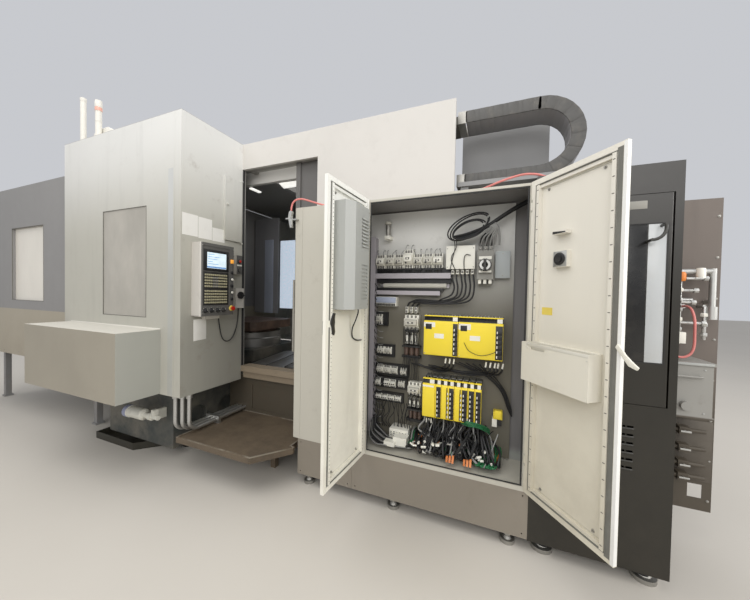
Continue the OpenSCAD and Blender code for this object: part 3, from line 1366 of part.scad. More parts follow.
module column() {
  base_x1 = column_x + column_len;
  base_top = slab_z + 200;
  half = column_w / 2;
  top_dep = 620;
  arm_x0 = column_x + 400;
  arm_h = 64;
  color("slategray") difference() {
    union() {
      along_y(-half, half) polygon([[column_x, slab_z], [base_x1, slab_z], [base_x1, base_top],
        [column_x + top_dep, column_top - 500], [column_x + top_dep, column_top],
        [column_x, column_top]]);
      for (px = [column_x + 110, base_x1 - 110], side = [-1, 1])
        translate([px, side * row_rail_gap / 2, bed_top]) rotate([0, 0, 90]) carriage(190, 101);
      span([column_x + 380, column_x + 500], [-60, 60], [screw_z - 60, slab_z + 1]);
      span([arm_x0, arm_x0 + 100], [-500, -300], [column_top - 1, chain_top_z + 4]);
      span([arm_x0, arm_x0 + 100], [chain_y, -300], [chain_top_z, chain_top_z + arm_h]);
      span([arm_x0, wall_x1], [chain_y, chain_y + chain_w], [chain_top_z, chain_top_z + arm_h]);
    }
    span([column_x - 1, column_x + recess_dep], [-recess_half, recess_half], [960, column_top - 110]);
    bar_x([column_x + 370, 0, screw_z], screw_r + run_gap, 140);
    for (z = [880, column_top - 130]) bar_z([head_screw_x, 0, z], screw_r - 2 + run_gap, 100);
    for (i = [0:2]) along_y(-half - 1, half + 1)
      translate([column_x + 400, 1150 + i * 480]) rounded_window(260 - i * 30, 340, 60);
    along_y(-half - 1, half + 1) translate([column_x + 700, 1040]) circle(r = 90);
  }
  color("silver") for (side = [-1, 1]) translate([column_x, side * head_rail_y, 960])
    rotate([0, 0, -90]) linear_extrude(column_top - 1070) rect([-rail_w / 2, -rail_h], [rail_w / 2, 0]);
  color("dimgray") difference() {
    span([nose_x + 100, column_x], [unit_y - unit_half_y, unit_y + unit_half_y], [arm_z - 130, arm_z + 130]);
    bar_x([nose_x + 90, -arm_offset, arm_z], 35 + run_gap, 200);
  }
}

module rounded_window(w, h, r) {
  rect([-w / 2 + r, -h / 2], [w / 2 - r, h / 2]);
  rect([-w / 2, -h / 2 + r], [w / 2, h / 2 - r]);
  for (i = [-1, 1], j = [-1, 1]) translate([i * (w / 2 - r), j * (h / 2 - r)]) circle(r = r);
}

module spindle_head() {
  back = column_x - rail_h - 40;
  plate_x = back - 110;
  color("gray") difference() {
    union() {
      span([plate_x, back], [-head_side, head_side], [spindle_z - head_half, spindle_z + head_half]);
      along_x(nose_x + 180, plate_x + 1) translate([0, spindle_z])
        rounded_window(460, 460, 60, $fn = 32);
      for (side = [-1, 1], dz = [-220, 220])
        translate([column_x, side * head_rail_y, spindle_z + dz]) rotate([0, -90, 0])
        rotate([0, 0, 90]) carriage(150, rail_h + 41);
      span([back - 1, head_screw_x + 60], [-60, 60], [spindle_z - 60, spindle_z + 60]);
    }
    bar_x([nose_x, 0, spindle_z], spindle_r + run_gap, 520);
    bar_z([head_screw_x, 0, spindle_z - 70], screw_r - 2 + run_gap, 140);
  }
}

module spindle() {
  color("silver") rotate_about_x([nose_x, 0, spindle_z]) rotate_extrude() polygon([[35, 0],
    [spindle_r + 25, 0], [spindle_r + 25, 30], [spindle_r, 34], [spindle_r, 500],
    [0, 500], [0, 110], [19, 110]]);
}

module changer_arm() {
  reach = arm_offset;
  color("silver") {
    along_x(arm_x, arm_x + arm_t) translate([-arm_offset, arm_z]) difference() {
      union() {
        circle(r = 80);
        rect([-50, -reach + 30], [50, reach - 30]);
        for (s = [-1, 1]) translate([0, s * reach]) circle(r = 70);
      }
      for (s = [-1, 1]) translate([0, s * reach]) {
        circle(r = 50);
        rect(s > 0 ? [0, -34] : [-80, -34], s > 0 ? [80, 34] : [0, 34]);
      }
    }
    bar_x([arm_x + arm_t, -arm_offset, arm_z], 35, 240);
  }
}

module table_saddle() {
  color("slategray") difference() {
    union() {
      span([cross_x0 + 50, cross_x1 - 50], [-saddle_half, saddle_half], [slab_z, saddle_top]);
      for (side = [-1, 1], py = [-saddle_half + 110, saddle_half - 110])
        translate([cross_x + side * cross_rail_gap / 2, py, bed_top]) carriage(180, 101);
      span([cross_x - 60, cross_x + 60], [-70, 70], [screw_z - 60, slab_z + 1]);
    }
    bar_y([cross_x, -80, screw_z], screw_r + run_gap, 160);
    bar_z([cross_x, 0, saddle_top - 80], 120 + run_gap, 81);
  }
}

module rotary_table() {
  z0 = saddle_top + slide_gap;
  color("gray") {
    difference() {
      translate([cross_x, 0, z0]) rotate_extrude($fn = 96) polygon([[0, -78], [120, -78], [120, 0],
        [rotary_r, 0], [rotary_r, 110], [rotary_r - 12, 122], [rotary_r - 12, rotary_t],
        [0, rotary_t]]);
      bar_z([cross_x, 0, z0 + rotary_t - 40], pallet_bore_r + 15, 41);
    }
  }
}

module pallet_body(x) {
  half = pallet_size / 2;
  cut = 60;
  translate([x, 0, pallet_z]) difference() {
    union() {
      translate([0, 0, 45]) linear_extrude(pallet_t - 45) polygon([[-half + cut, -half],
        [half - cut, -half], [half, -half + cut], [half, half - cut], [half - cut, half],
        [-half + cut, half], [-half, half - cut], [-half, -half + cut]]);
      cylinder(r = half - 60, h = 46);
    }
    translate([0, 0, -1]) cylinder(r = pallet_bore_r, h = pallet_t + 2);
    hole = pallet_hole_gap / 2;
    for (i = [-1, 1], j = [-1, 1]) bar_z([i * hole, j * hole, pallet_t - 50], pallet_hole_r, 51);
  }
}

module pallet() { color("peru") pallet_body(cross_x); }

module load_pallet() {
  color("dimgray") {
    pallet_body(load_x);
    difference() {
      bar_z([load_x, 0, pallet_z - slide_gap - 88], 120, 88 + slide_gap);
      bar_z([load_x, 0, pallet_z - slide_gap - 90], pallet_bore_r + 30, 100);
    }
  }
}

module column_screw() {
  color("silver") bar_x([row_rail_x0 - 60, 0, screw_z], screw_r, row_rail_x1 - row_rail_x0 + 180);
}

module head_screw() { color("silver") bar_z([head_screw_x, 0, 890], screw_r - 2, column_top - 930); }

module cross_screw() {
  color("silver") bar_y([cross_x, -cross_rail_y + 5, screw_z], screw_r, 2 * cross_rail_y - 10);
}

// Telescopic way covers: steel roofs that nest, in front of the column
module way_covers() {
  x0 = cross_x1 + 40;
  x1 = column_x - 10;
  n = 5;
  z0 = bed_top + slide_gap;
  l = (x1 - x0) / n;
  color("dimgray") for (i = [0:n - 1]) {
    h = 30 + i * 14;
    along_x(x0 + i * l, x0 + (i + 1) * l - 1) difference() {
      polygon([[-row_half + 20, z0], [-row_half + 20, slab_z + h], [0, slab_z + h + 45],
        [row_half - 20, slab_z + h], [row_half - 20, z0]]);
      polygon([[-row_half + 24, z0 - 1], [-row_half + 24, slab_z + h - 3], [0, slab_z + h + 41],
        [row_half - 24, slab_z + h - 3], [row_half - 24, z0 - 1]]);
    }
  }
}

bed();
levelling_feet();
guide_rails();
load_stand();
chip_conveyor();
oil_filter();
block_guard();
windows();
apron();
load_guard();
main_guard();
rear_guard();
top_frame();
chain_tray();
cable_chain();
magazine_housing();
cabinet_shell();
mounting_plate();
switchgear();
servo_drives();
main_breaker();
cabinet_wiring();
control_panel();
panel_face();
platform();
utility_panel();
air_unit();
conduits();
signal_tower();
air_hose();
air_gun();
panel_cable();
column();
spindle_head();
spindle();
table_saddle();
rotary_table();
pallet();
load_pallet();
changer_arm();
magazine_disc();
tool_holders();
column_screw();
head_screw();
cross_screw();
way_covers();
load_door();
pallet_shutter();
operator_door();
magazine_door();
cabinet_door_left();
cabinet_door_right();
door_latch();
door_hub();
heat_exchanger();
door_pocket();
breaker_knob();
estop_button();
handwheel();
access_cover();
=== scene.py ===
import json
import math
import random

import bmesh
import bpy
from mathutils import Matrix, Vector


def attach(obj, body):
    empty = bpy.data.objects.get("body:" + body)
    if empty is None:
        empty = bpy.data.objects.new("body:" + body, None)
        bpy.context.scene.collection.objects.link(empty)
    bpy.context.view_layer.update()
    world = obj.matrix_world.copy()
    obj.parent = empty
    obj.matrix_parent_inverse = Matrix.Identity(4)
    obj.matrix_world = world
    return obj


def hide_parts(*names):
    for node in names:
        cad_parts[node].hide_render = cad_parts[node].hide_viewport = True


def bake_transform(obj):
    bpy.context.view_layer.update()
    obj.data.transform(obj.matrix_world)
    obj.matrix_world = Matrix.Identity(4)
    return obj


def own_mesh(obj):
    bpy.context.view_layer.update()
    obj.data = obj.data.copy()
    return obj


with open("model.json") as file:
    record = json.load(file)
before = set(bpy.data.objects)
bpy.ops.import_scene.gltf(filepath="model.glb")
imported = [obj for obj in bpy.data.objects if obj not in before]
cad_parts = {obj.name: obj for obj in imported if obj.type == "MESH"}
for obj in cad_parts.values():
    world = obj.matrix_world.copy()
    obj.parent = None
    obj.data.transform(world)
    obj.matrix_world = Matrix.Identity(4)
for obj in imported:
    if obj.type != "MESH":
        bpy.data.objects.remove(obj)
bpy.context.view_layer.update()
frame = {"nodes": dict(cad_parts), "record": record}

NODES = frame["nodes"]


# The camera, fitted to the photograph's vanishing lines
PHOTO_WIDTH = 750
SENSOR = 36.0
FOCAL_PIXELS = 301.6
CAMERA_PLACE = (2.700, -3.400, 1.600)
CAMERA_YAW = math.radians(22.16)
CAMERA_DOWN = math.radians(1.167)
CAMERA_ROLL = math.radians(1.104)


def make_camera():
    data = bpy.data.cameras.new("camera")
    data.sensor_width = SENSOR
    data.lens = FOCAL_PIXELS / PHOTO_WIDTH * SENSOR
    data.clip_start = 0.05
    camera = bpy.data.objects.new("camera", data)
    bpy.context.scene.collection.objects.link(camera)
    ahead = Vector((-math.sin(CAMERA_YAW), math.cos(CAMERA_YAW), 0.0))
    right = Vector((math.cos(CAMERA_YAW), math.sin(CAMERA_YAW), 0.0))
    up = Vector((0.0, 0.0, 1.0))
    view = ahead * math.cos(CAMERA_DOWN) - up * math.sin(CAMERA_DOWN)
    top = up * math.cos(CAMERA_DOWN) + ahead * math.sin(CAMERA_DOWN)
    side = right * math.cos(CAMERA_ROLL) + top * math.sin(CAMERA_ROLL)
    top = top * math.cos(CAMERA_ROLL) - right * math.sin(CAMERA_ROLL)
    turn = Matrix((side, top, -view)).transposed()
    camera.matrix_world = Matrix.Translation(CAMERA_PLACE) @ turn.to_4x4()
    bpy.context.scene.camera = camera


make_camera()


# Shader formulas
def feed(tree, socket, value):
    """Joins a Value to a socket, or sets the socket to a plain number or colour."""
    if isinstance(value, Value):
        tree.links.new(value.socket, socket)
    elif hasattr(socket.default_value, "__len__") and not hasattr(value, "__len__"):
        socket.default_value = [value] * len(socket.default_value)
    elif hasattr(socket.default_value, "__len__") and len(value) < len(socket.default_value):
        socket.default_value = tuple(value) + (1.0,)
    else:
        socket.default_value = value


class Value:
    """A shader socket that takes plain arithmetic, so that a formula reads as one."""

    def __init__(self, tree, socket):
        self.tree = tree
        self.socket = socket

    def math(self, kind, other):
        node = self.tree.nodes.new("ShaderNodeMath")
        node.operation = kind
        feed(self.tree, node.inputs[0], self)
        feed(self.tree, node.inputs[1], other)
        return Value(self.tree, node.outputs[0])

    def __add__(self, other):
        return self.math("ADD", other)

    def __sub__(self, other):
        return self.math("SUBTRACT", other)

    def __mul__(self, other):
        return self.math("MULTIPLY", other)

    __radd__ = __add__

    def step(self, low, high):
        """0 at low, 1 at high, smooth between them; low may be above high."""
        node = self.tree.nodes.new("ShaderNodeMapRange")
        node.interpolation_type = "SMOOTHSTEP"
        feed(self.tree, node.inputs["Value"], self)
        turned = low > high
        node.inputs["From Min"].default_value = min(low, high)
        node.inputs["From Max"].default_value = max(low, high)
        node.inputs["To Min"].default_value = 1.0 if turned else 0.0
        node.inputs["To Max"].default_value = 0.0 if turned else 1.0
        return Value(self.tree, node.outputs[0])


class Finish:
    """One procedural material around a Principled shader."""

    def __init__(self, name, **constants):
        self.material = bpy.data.materials.new(name)
        self.material.use_nodes = True
        self.tree = self.material.node_tree
        self.shader = self.tree.nodes["Principled BSDF"]
        for key, value in constants.items():
            feed(self.tree, self.shader.inputs[key.replace("_", " ")], value)
        self.place = self.make("ShaderNodeTexCoord", "Object")

    def make(self, kind, output=0, **inputs):
        """Any other node with its inputs; gives the named output."""
        node = self.tree.nodes.new(kind)
        for key, value in inputs.items():
            feed(self.tree, node.inputs[key.replace("_", " ")], value)
        return Value(self.tree, node.outputs[output])

    def axis(self, name):
        return self.make("ShaderNodeSeparateXYZ", name, Vector=self.place)

    def noise(self, scale, detail=3.0, roughness=0.55, stretch=(1.0, 1.0, 1.0), seed=0.0):
        spot = self.make("ShaderNodeMapping", Vector=self.place, Scale=stretch, Location=(seed, seed, seed))
        return self.make("ShaderNodeTexNoise", "Fac", Vector=spot, Scale=scale, Detail=detail,
                         Roughness=roughness)

    def mix(self, share, low, high, blend="MIX"):
        node = self.tree.nodes.new("ShaderNodeMix")
        node.data_type = "RGBA"
        node.blend_type = blend
        feed(self.tree, node.inputs["Factor"], share)
        feed(self.tree, node.inputs[6], low)
        feed(self.tree, node.inputs[7], high)
        return Value(self.tree, node.outputs[2])

    def dim(self, colour, share, factor):
        """The colour, times a factor where the share is 1."""
        return self.mix(share, colour, (factor, factor, factor), "MULTIPLY")

    def wear(self, colour=None, roughness=None, metallic=None, height=None, depth=0.0002, **others):
        """Joins the varying channels to the shader; height is a bump in metres."""
        for key, value in dict(Base_Color=colour, Roughness=roughness, Metallic=metallic, **others).items():
            if value is not None:
                feed(self.tree, self.shader.inputs[key.replace("_", " ")], value)
        if height is not None:
            bump = self.make("ShaderNodeBump", "Normal", Strength=1.0, Distance=depth, Height=height)
            feed(self.tree, self.shader.inputs["Normal"], bump)
        return self.material


def shade(colour, factor):
    return tuple(min(1.0, c * factor) for c in colour)


class Coat(Finish):
    """Enamel put on in coats over a first colour, and weathered by smears, clouds and streaks."""

    def __init__(self, name, colour, smear=7.0):
        super().__init__(name)
        self.colour = colour
        self.height = self.axis("Z")
        self.smear = self.noise(smear, 5.0, 0.7, seed=5.2)

    def cloud(self, scale, low=0.35):
        return self.noise(scale, 4.0, seed=3.1).step(low, 0.7)

    def streak(self, low):
        return self.noise(3.5, 4.0, 0.6, (2.2, 2.2, 0.22), 7.7).step(low, 0.8)

    def over(self, share, colour):
        self.colour = self.mix(share, self.colour, colour)

    def dimmed(self, share, factor):
        self.colour = self.dim(self.colour, share, factor)

    def dirty(self, low, share, dirt):
        self.over(self.smear.step(low, 0.85) * share, dirt)

    def done(self, share=0.25, roughness=0.42, more=None):
        """Joins the coats to the shader, duller where the smears are."""
        rough = roughness + self.smear * share
        return self.wear(self.colour, rough if more is None else rough + more, None,
                         self.noise(120.0, 2.0, seed=1.3) + self.smear * 0.6, 0.00025)


def enamel(name, colour, grime=0.35, roughness=0.45, low=None, span=(1.0, 3.0), dirt=(0.16, 0.12, 0.08)):
    """Sprayed enamel on sheet: clouded, streaked downwards, dusty and grimy towards the floor.

    A low colour, where one is given, turns into the other over the span of heights: two-tone paint on some sheets, and
    on others painted light above and painted shade below."""
    coat = Coat(name, low or colour, 6.0)
    # the low colour is two-tone paint on some sheets; on others it is painted shade below and painted light above
    if low:
        coat.over(coat.height.step(*span), colour)
    foot = coat.height.step(1.5, 0.0)
    coat.dimmed(coat.cloud(0.9, 0.3) * 0.32, 0.86)
    coat.dimmed(coat.streak(0.55) * (0.1 + foot * 0.35), 0.7)
    coat.over(foot * grime * coat.smear.step(0.25, 0.7) + coat.smear.step(0.68, 0.9) * grime * 0.3, dirt)
    return coat.done(0.18, roughness, foot * 0.08)


def tall_guard_enamel(name):
    """The tall guard: bright at its top and dull below in painted light, with a right face that is darker towards its
    foot in painted shadow and carries heavier smears.
    """
    coat = Coat(name, (0.45, 0.44, 0.385), 5.0)
    face = coat.axis("X").step(0.2135, 0.2148)
    # painted light: the guard turns lighter towards its top
    coat.over(coat.height.step(2.0, 3.05), (0.7, 0.7, 0.675))
    # the roof goes back to a plain colour near the guard's own, without the painted light
    coat.over(coat.height.step(3.113, 3.114), (0.44, 0.435, 0.41))
    # painted shadow: the right face darkens towards its foot
    coat.dimmed(face * coat.height.step(2.3, 0.9), 0.74)
    coat.dimmed(coat.cloud(0.8) * 0.4, 0.86)
    coat.dimmed(coat.streak(0.5) * 0.4, 0.8)
    coat.dirty(0.55, 0.1 + face * 0.35, (0.17, 0.12, 0.08))
    return coat.done(0.2)


def apron_enamel(name):
    """The apron box: a warm gray front, a cooler right end painted paler as painted light, and a top painted bright as
    a painted highlight.
    """
    coat = Coat(name, (0.325, 0.296, 0.238), 5.0)
    # painted light: the right end is paler than the front
    coat.over(coat.axis("X").step(-0.04, -0.0385), (0.36, 0.362, 0.325))
    coat.dimmed(coat.cloud(1.3) * 0.5, 0.84)
    # painted highlight: the top face is bright
    coat.over(coat.height.step(1.2495, 1.2505), (0.58, 0.56, 0.5))
    coat.dirty(0.6, 0.25, (0.18, 0.145, 0.1))
    return coat.done(0.2)


def wall_enamel(name):
    """The main wall: cream, paler towards the top in painted light, a dirty beige sill and an oily brown panel below
    it.
    """
    coat = Coat(name, (0.5, 0.475, 0.43))
    # painted light: the cream grows paler towards the top
    coat.over(coat.height.step(1.2, 2.6), (0.6, 0.58, 0.545))
    coat.over(coat.height.step(0.9, 0.84), (0.25, 0.2, 0.14))
    coat.over(coat.height.step(0.7, 0.68), (0.08, 0.066, 0.046))
    coat.dimmed(coat.cloud(1.1) * 0.4, 0.86)
    coat.dirty(0.5, 0.08 + coat.height.step(1.2, 0.6) * 0.5, (0.1, 0.072, 0.045))
    return coat.done()


def utility_enamel(name):
    """The utility panel: gray-brown above and near black below in painted shade, and a paler box on its shelf."""
    # painted shade: near black below, turning gray-brown above
    coat = Coat(name, (0.08, 0.066, 0.048))
    coat.over(coat.height.step(0.75, 1.35), (0.155, 0.13, 0.112))
    coat.dimmed(coat.streak(0.45) * 0.6, 0.7)
    coat.over(coat.axis("Y").step(-0.8025, -0.8035) * coat.height.step(0.905, 0.915), (0.3, 0.292, 0.268))
    coat.dirty(0.55, 0.35, (0.1, 0.08, 0.055))
    return coat.done()


def plate_enamel(name):
    """The mounting plate: dull olive below in painted shade and bright bluish gray above in painted light, with
    purplish gray ducts before it.
    """
    # painted shade below and painted light above: dull olive turning bright bluish gray
    coat = Coat(name, (0.175, 0.162, 0.125))
    coat.over(coat.height.step(1.35, 2.15), (0.8, 0.8, 0.77))
    coat.over(coat.axis("Y").step(-0.9775, -0.9785), (0.47, 0.445, 0.475))
    coat.dimmed(coat.cloud(1.1) * 0.4, 0.8)
    coat.dirty(0.55, 0.3, (0.1, 0.09, 0.065))
    return coat.wear(coat.colour, 0.42 + coat.smear * 0.25, None, coat.smear, 0.0002)


def cabinet_enamel(name):
    """The cabinet's housing: beige outside, darker gray within and a brown plinth."""
    coat = Coat(name, (0.235, 0.207, 0.168))
    height = coat.height
    inside = coat.axis("Y").step(-1.31, -1.306) * coat.axis("X").step(2.9035, 2.9015) * height.step(0.386, 0.39)
    inside = inside * height.step(2.2995, 2.2985)
    coat.over(height.step(0.379, 0.381), (0.5, 0.48, 0.415))
    coat.over(inside, coat.mix(height.step(0.42, 0.5), (0.36, 0.37, 0.35), (0.21, 0.203, 0.2)))
    coat.dirty(0.55, 0.25, (0.16, 0.13, 0.09))
    return coat.done()


def panel_enamel(name):
    """The control panel's housing: dark gray fronts, and sides painted lighter as painted light."""
    # painted light: the sides are lighter than the housing's own gray
    coat = Coat(name, (0.56, 0.535, 0.49))
    along = coat.axis("X")
    for front in (along.step(0.3325, 0.334), along.step(0.2675, 0.269) * coat.axis("Y").step(-1.1305, -1.1295)):
        coat.over(front, (0.115, 0.112, 0.105))
    coat.dirty(0.55, 0.3, (0.14, 0.11, 0.08))
    return coat.done(0.2)


def filter_enamel(name):
    """The filter's white canister over its black drip tray, which holds an oily film."""
    coat = Coat(name, (0.62, 0.61, 0.54), 9.0)
    tray = coat.height.step(0.2, 0.18)
    coat.over(coat.axis("X").step(-0.498, -0.502), (0.27, 0.29, 0.4))
    coat.over(tray, (0.03, 0.028, 0.02))
    coat.dirty(0.5, 0.4, (0.12, 0.09, 0.055))
    return coat.wear(coat.colour, 0.45 + coat.smear * 0.25 - tray * 0.2, None, coat.smear, 0.0003)


def tread_enamel(name):
    """A trodden platform: dark oily brown, with a bright rubbed line along its top edges."""
    finish = Finish(name)
    smear = finish.noise(5.0, 6.0, 0.7, seed=5.2)
    fine = finish.noise(90.0, 3.0, 0.6)
    rubbed = finish.axis("Z").step(0.3035, 0.3085) * smear.step(0.35, 0.6)
    shaded = finish.mix(smear.step(0.35, 0.75) * 0.6, (0.125, 0.094, 0.062), (0.055, 0.042, 0.028))
    shaded = finish.mix(fine.step(0.58, 0.75) * 0.35, shaded, (0.24, 0.19, 0.13))
    shaded = finish.mix(rubbed * 0.7, shaded, (0.42, 0.38, 0.31))
    return finish.wear(shaded, 0.42 + smear * 0.3 - rubbed * 0.1, rubbed * 0.5, fine + smear, 0.0005)


def casting(name, colour):
    """Painted cast iron with a dull uneven skin and dust in it."""
    finish = Finish(name)
    skin = finish.noise(26.0, 5.0, 0.65)
    cloud = finish.noise(2.4, 5.0, 0.6, seed=2.0)
    shaded = finish.mix(cloud.step(0.35, 0.75) * 0.5, colour, (0.3, 0.26, 0.2))
    shaded = finish.mix(skin.step(0.5, 0.8) * 0.35, shaded, shade(colour, 0.6))
    return finish.wear(shaded, 0.5 + skin * 0.25, None, skin + cloud * 0.5, 0.0012)


def machined(name, colour, roughness=0.3, streaks=(1.0, 60.0, 60.0), oil=0.3):
    """Ground or brushed metal with fine lines and oily smears."""
    finish = Finish(name, Metallic=1.0)
    line = finish.noise(30.0, 3.0, 0.6, streaks)
    film = finish.noise(4.0, 4.0, 0.6, seed=4.0)
    shaded = finish.mix(film.step(0.45, 0.75) * oil, colour, shade(colour, 0.5))
    return finish.wear(shaded, roughness + line * 0.14 + film * 0.16, None, line, 0.0001)


def rusted(name):
    """A machined top with rust, dark oil and bright rubbed places."""
    finish = Finish(name)
    patch = finish.noise(5.0, 6.0, 0.65)
    fine = finish.noise(60.0, 4.0, 0.7, seed=9.0)
    shaded = finish.mix(patch.step(0.4, 0.65), (0.09, 0.06, 0.045), (0.16, 0.1, 0.07))
    shaded = finish.mix(fine.step(0.55, 0.75) * 0.4, shaded, (0.32, 0.17, 0.08))
    return finish.wear(shaded, 0.45 + patch * 0.3, fine.step(0.5, 0.7) * 0.25, fine + patch, 0.0006)


def plastic(name, colour, roughness=0.42, dust=0.12, grain=0.00012):
    """Moulded plastic with a fine grain and a little dust."""
    finish = Finish(name)
    cloud = finish.noise(9.0, 4.0, 0.6, seed=6.0)
    shaded = finish.mix(cloud.step(0.45, 0.8) * dust, colour, (0.42, 0.37, 0.29))
    return finish.wear(shaded, roughness + cloud * 0.15, None, finish.noise(400.0, 2.0), grain)


def rubber(name, colour, roughness=0.55):
    finish = Finish(name)
    cloud = finish.noise(14.0, 3.0)
    shaded = finish.mix(cloud.step(0.4, 0.8) * 0.35, colour, shade(colour, 1.7))
    return finish.wear(shaded, roughness + cloud * 0.2, None, finish.noise(220.0, 2.0), 0.0001)


def hazy_glass(name):
    """Safety glass that is dull with coolant film; the loading guard's window is painted brighter as painted light."""
    finish = Finish(name, Specular_IOR_Level=0.6)
    film = finish.noise(1.8, 5.0, 0.6, (1.0, 1.0, 0.5))
    colour = (0.5, 0.475, 0.42)
    shaded = finish.mix(film.step(0.35, 0.7), shade(colour, 0.82), colour)
    # painted light: the loading guard's window is brighter
    shaded = finish.mix(finish.axis("X").step(-1.8, -1.9), shaded, (0.8, 0.765, 0.69))
    return finish.wear(shaded, 0.2 + film * 0.3, Alpha=film * 0.3 + 0.74)


def lamp(name, colour, power):
    finish = Finish(name, Roughness=0.3, Emission_Strength=power)
    glow = finish.mix(finish.noise(30.0, 2.0).step(0.3, 0.7), shade(colour, 0.86), colour)
    return finish.wear(glow, Emission_Color=glow)


FINISHES = {
    casting: {"cast_green": ((0.045, 0.052, 0.05),)},
    machined: {
        "ground_steel": ((0.46, 0.45, 0.43),), "zinc_steel": ((0.42, 0.41, 0.38), 0.4),
        "alloy": ((0.56, 0.56, 0.54), 0.34, (50.0, 50.0, 1.0), 0.2)},
    enamel: {
        "light_guard": ((0.5, 0.485, 0.43), 0.42, 0.46),
        "loading_guard": ((0.262, 0.256, 0.25), 0.3, 0.42, (0.375, 0.337, 0.265), (1.328, 1.332)),
        "header_gray": ((0.76, 0.74, 0.68), 0.3, 0.45, (0.29, 0.282, 0.26), (3.115, 3.12)),
        # beam_pale: lightened as painted light on a beam that stands in shade
        "beam_pale": ((0.62, 0.61, 0.58), 0.3, 0.45),
        # door_sheet: dark above 2.42 m as a painted shadow, the wall in shade over the door
        "door_sheet": ((0.125, 0.12, 0.115), 0.5, 0.42, (0.365, 0.349, 0.302), (2.415, 2.425)),
        # left_leaf and right_leaf: lighter towards the top in painted light
        "left_leaf": ((0.88, 0.88, 0.83), 0.2, 0.42, (0.86, 0.84, 0.745), (1.7, 2.15)),
        "right_leaf": ((0.74, 0.71, 0.63), 0.2, 0.42, (0.66, 0.62, 0.51), (0.5, 2.0)),
        # inner_slate and inner_dark: lightened as painted light in the shaded interior
        "inner_slate": ((0.66, 0.72, 0.86), 0.2, 0.4), "inner_dark": ((0.4, 0.4, 0.42), 0.3, 0.4),
        # faint_blue: lighter towards the top in painted light, as the tall guard is
        "faint_blue": ((0.55, 0.56, 0.55), 0.35, 0.4, (0.42, 0.425, 0.395), (1.6, 2.6)),
        "dark_guard": ((0.27, 0.27, 0.27), 0.3, 0.42),
        # black_guard: lighter towards the top in painted light
        "black_guard": ((0.055, 0.053, 0.05), 0.3, 0.32, (0.019, 0.017, 0.012), (1.5, 2.4), (0.05, 0.042, 0.03)),
        "cream_sheet": ((0.5, 0.48, 0.41), 0.2, 0.42), "gray_sheet": ((0.2, 0.19, 0.17), 0.35, 0.45),
        "brown_sheet": ((0.12, 0.105, 0.085), 0.6, 0.55, None, (1.0, 3.0), (0.05, 0.038, 0.026)),
        "bright_edge": ((0.8, 0.8, 0.775), 0.15, 0.34), "light_metal": ((0.4, 0.41, 0.39), 0.2, 0.4),
        "white_metal": ((0.76, 0.74, 0.68), 0.2, 0.4)},
    plastic: {
        "pocket_plastic": ((0.7, 0.67, 0.58),), "white_plastic": ((0.62, 0.6, 0.53),),
        "black_plastic": ((0.016, 0.016, 0.017), 0.38, 0.06), "black_glass": ((0.01, 0.01, 0.01), 0.2, 0.04),
        "gray_plastic": ((0.27, 0.265, 0.24), 0.5, 0.2), "yellow_plastic": ((0.97, 0.76, 0.05), 0.36, 0.04),
        "faded_yellow": ((0.74, 0.58, 0.1), 0.5, 0.1), "orange_plastic": ((0.72, 0.22, 0.03), 0.4, 0.1),
        "blue_plastic": ((0.42, 0.47, 0.6), 0.4, 0.1), "key_plastic": ((0.4, 0.37, 0.24), 0.45, 0.15),
        # device_cream: lightened past the devices' own cream as painted light for the shade in the cabinet
        "red_plastic": ((0.55, 0.02, 0.012), 0.3, 0.05), "device_cream": ((0.88, 0.865, 0.78), 0.45, 0.08),
        "device_gray": ((0.58, 0.565, 0.5), 0.45, 0.12), "blue_gray_plate": ((0.43, 0.46, 0.46), 0.45, 0.1),
        "duct_gray": ((0.4, 0.38, 0.405), 0.5, 0.15), "coil_brown": ((0.115, 0.075, 0.058), 0.35, 0.08),
        "pale_foam": ((0.72, 0.7, 0.62), 0.8, 0.2, 0.0006), "paper": ((0.76, 0.75, 0.71), 0.7, 0.12, 0.00008),
        # window_sky: a painted reflection on the magazine window
        "window_sky": ((0.5, 0.52, 0.53), 0.15, 0.1), "amber_oil": ((0.42, 0.2, 0.04), 0.15, 0.1),
        "tower_red": ((0.78, 0.42, 0.33), 0.3, 0.08), "chain_black": ((0.075, 0.073, 0.069), 0.42, 0.2),
        # chain_inside: lighter than chain_black as painted light on the lids' shaded faces
        "chain_inside": ((0.27, 0.265, 0.27), 0.5, 0.1)},
    rubber: {
        "seal_rubber": ((0.022, 0.022, 0.022), 0.65), "gasket_gray": ((0.15, 0.148, 0.13), 0.7),
        "seam_dark": ((0.12, 0.115, 0.1), 0.8), "hose_rubber": ((0.62, 0.2, 0.18), 0.4),
        "cable_rubber": ((0.016, 0.016, 0.017), 0.42), "wire_green": ((0.02, 0.15, 0.055), 0.4),
        "wire_gray": ((0.26, 0.26, 0.25), 0.45), "wire_orange": ((0.75, 0.25, 0.08), 0.42)},
    lamp: {
        # inner_blue: a glow as painted light, standing in for daylight behind the inner panel; it is no lamp
        "inner_blue": ((0.5, 0.575, 0.67), 0.95), "lamp_white": ((0.95, 0.94, 0.88), 0.9),
        "screen_glow": ((0.62, 0.74, 0.8), 0.7), "screen_blue": ((0.1, 0.25, 0.55), 0.5),
        "amber_glow": ((0.85, 0.36, 0.05), 0.5)},
    tall_guard_enamel: {"tall_guard": ()}, apron_enamel: {"apron_gray": ()}, wall_enamel: {"main_wall": ()},
    cabinet_enamel: {"cabinet_sheet": ()}, plate_enamel: {"plate_olive": ()}, panel_enamel: {"panel_gray": ()},
    utility_enamel: {"utility_sheet": ()}, tread_enamel: {"platform_brown": ()},
    filter_enamel: {"filter_white": ()}, hazy_glass: {"glass": ()}, rusted: {"rust_iron": ()},
}
MATERIALS = {name: make(name, *given) for make, table in FINISHES.items() for name, given in table.items()}


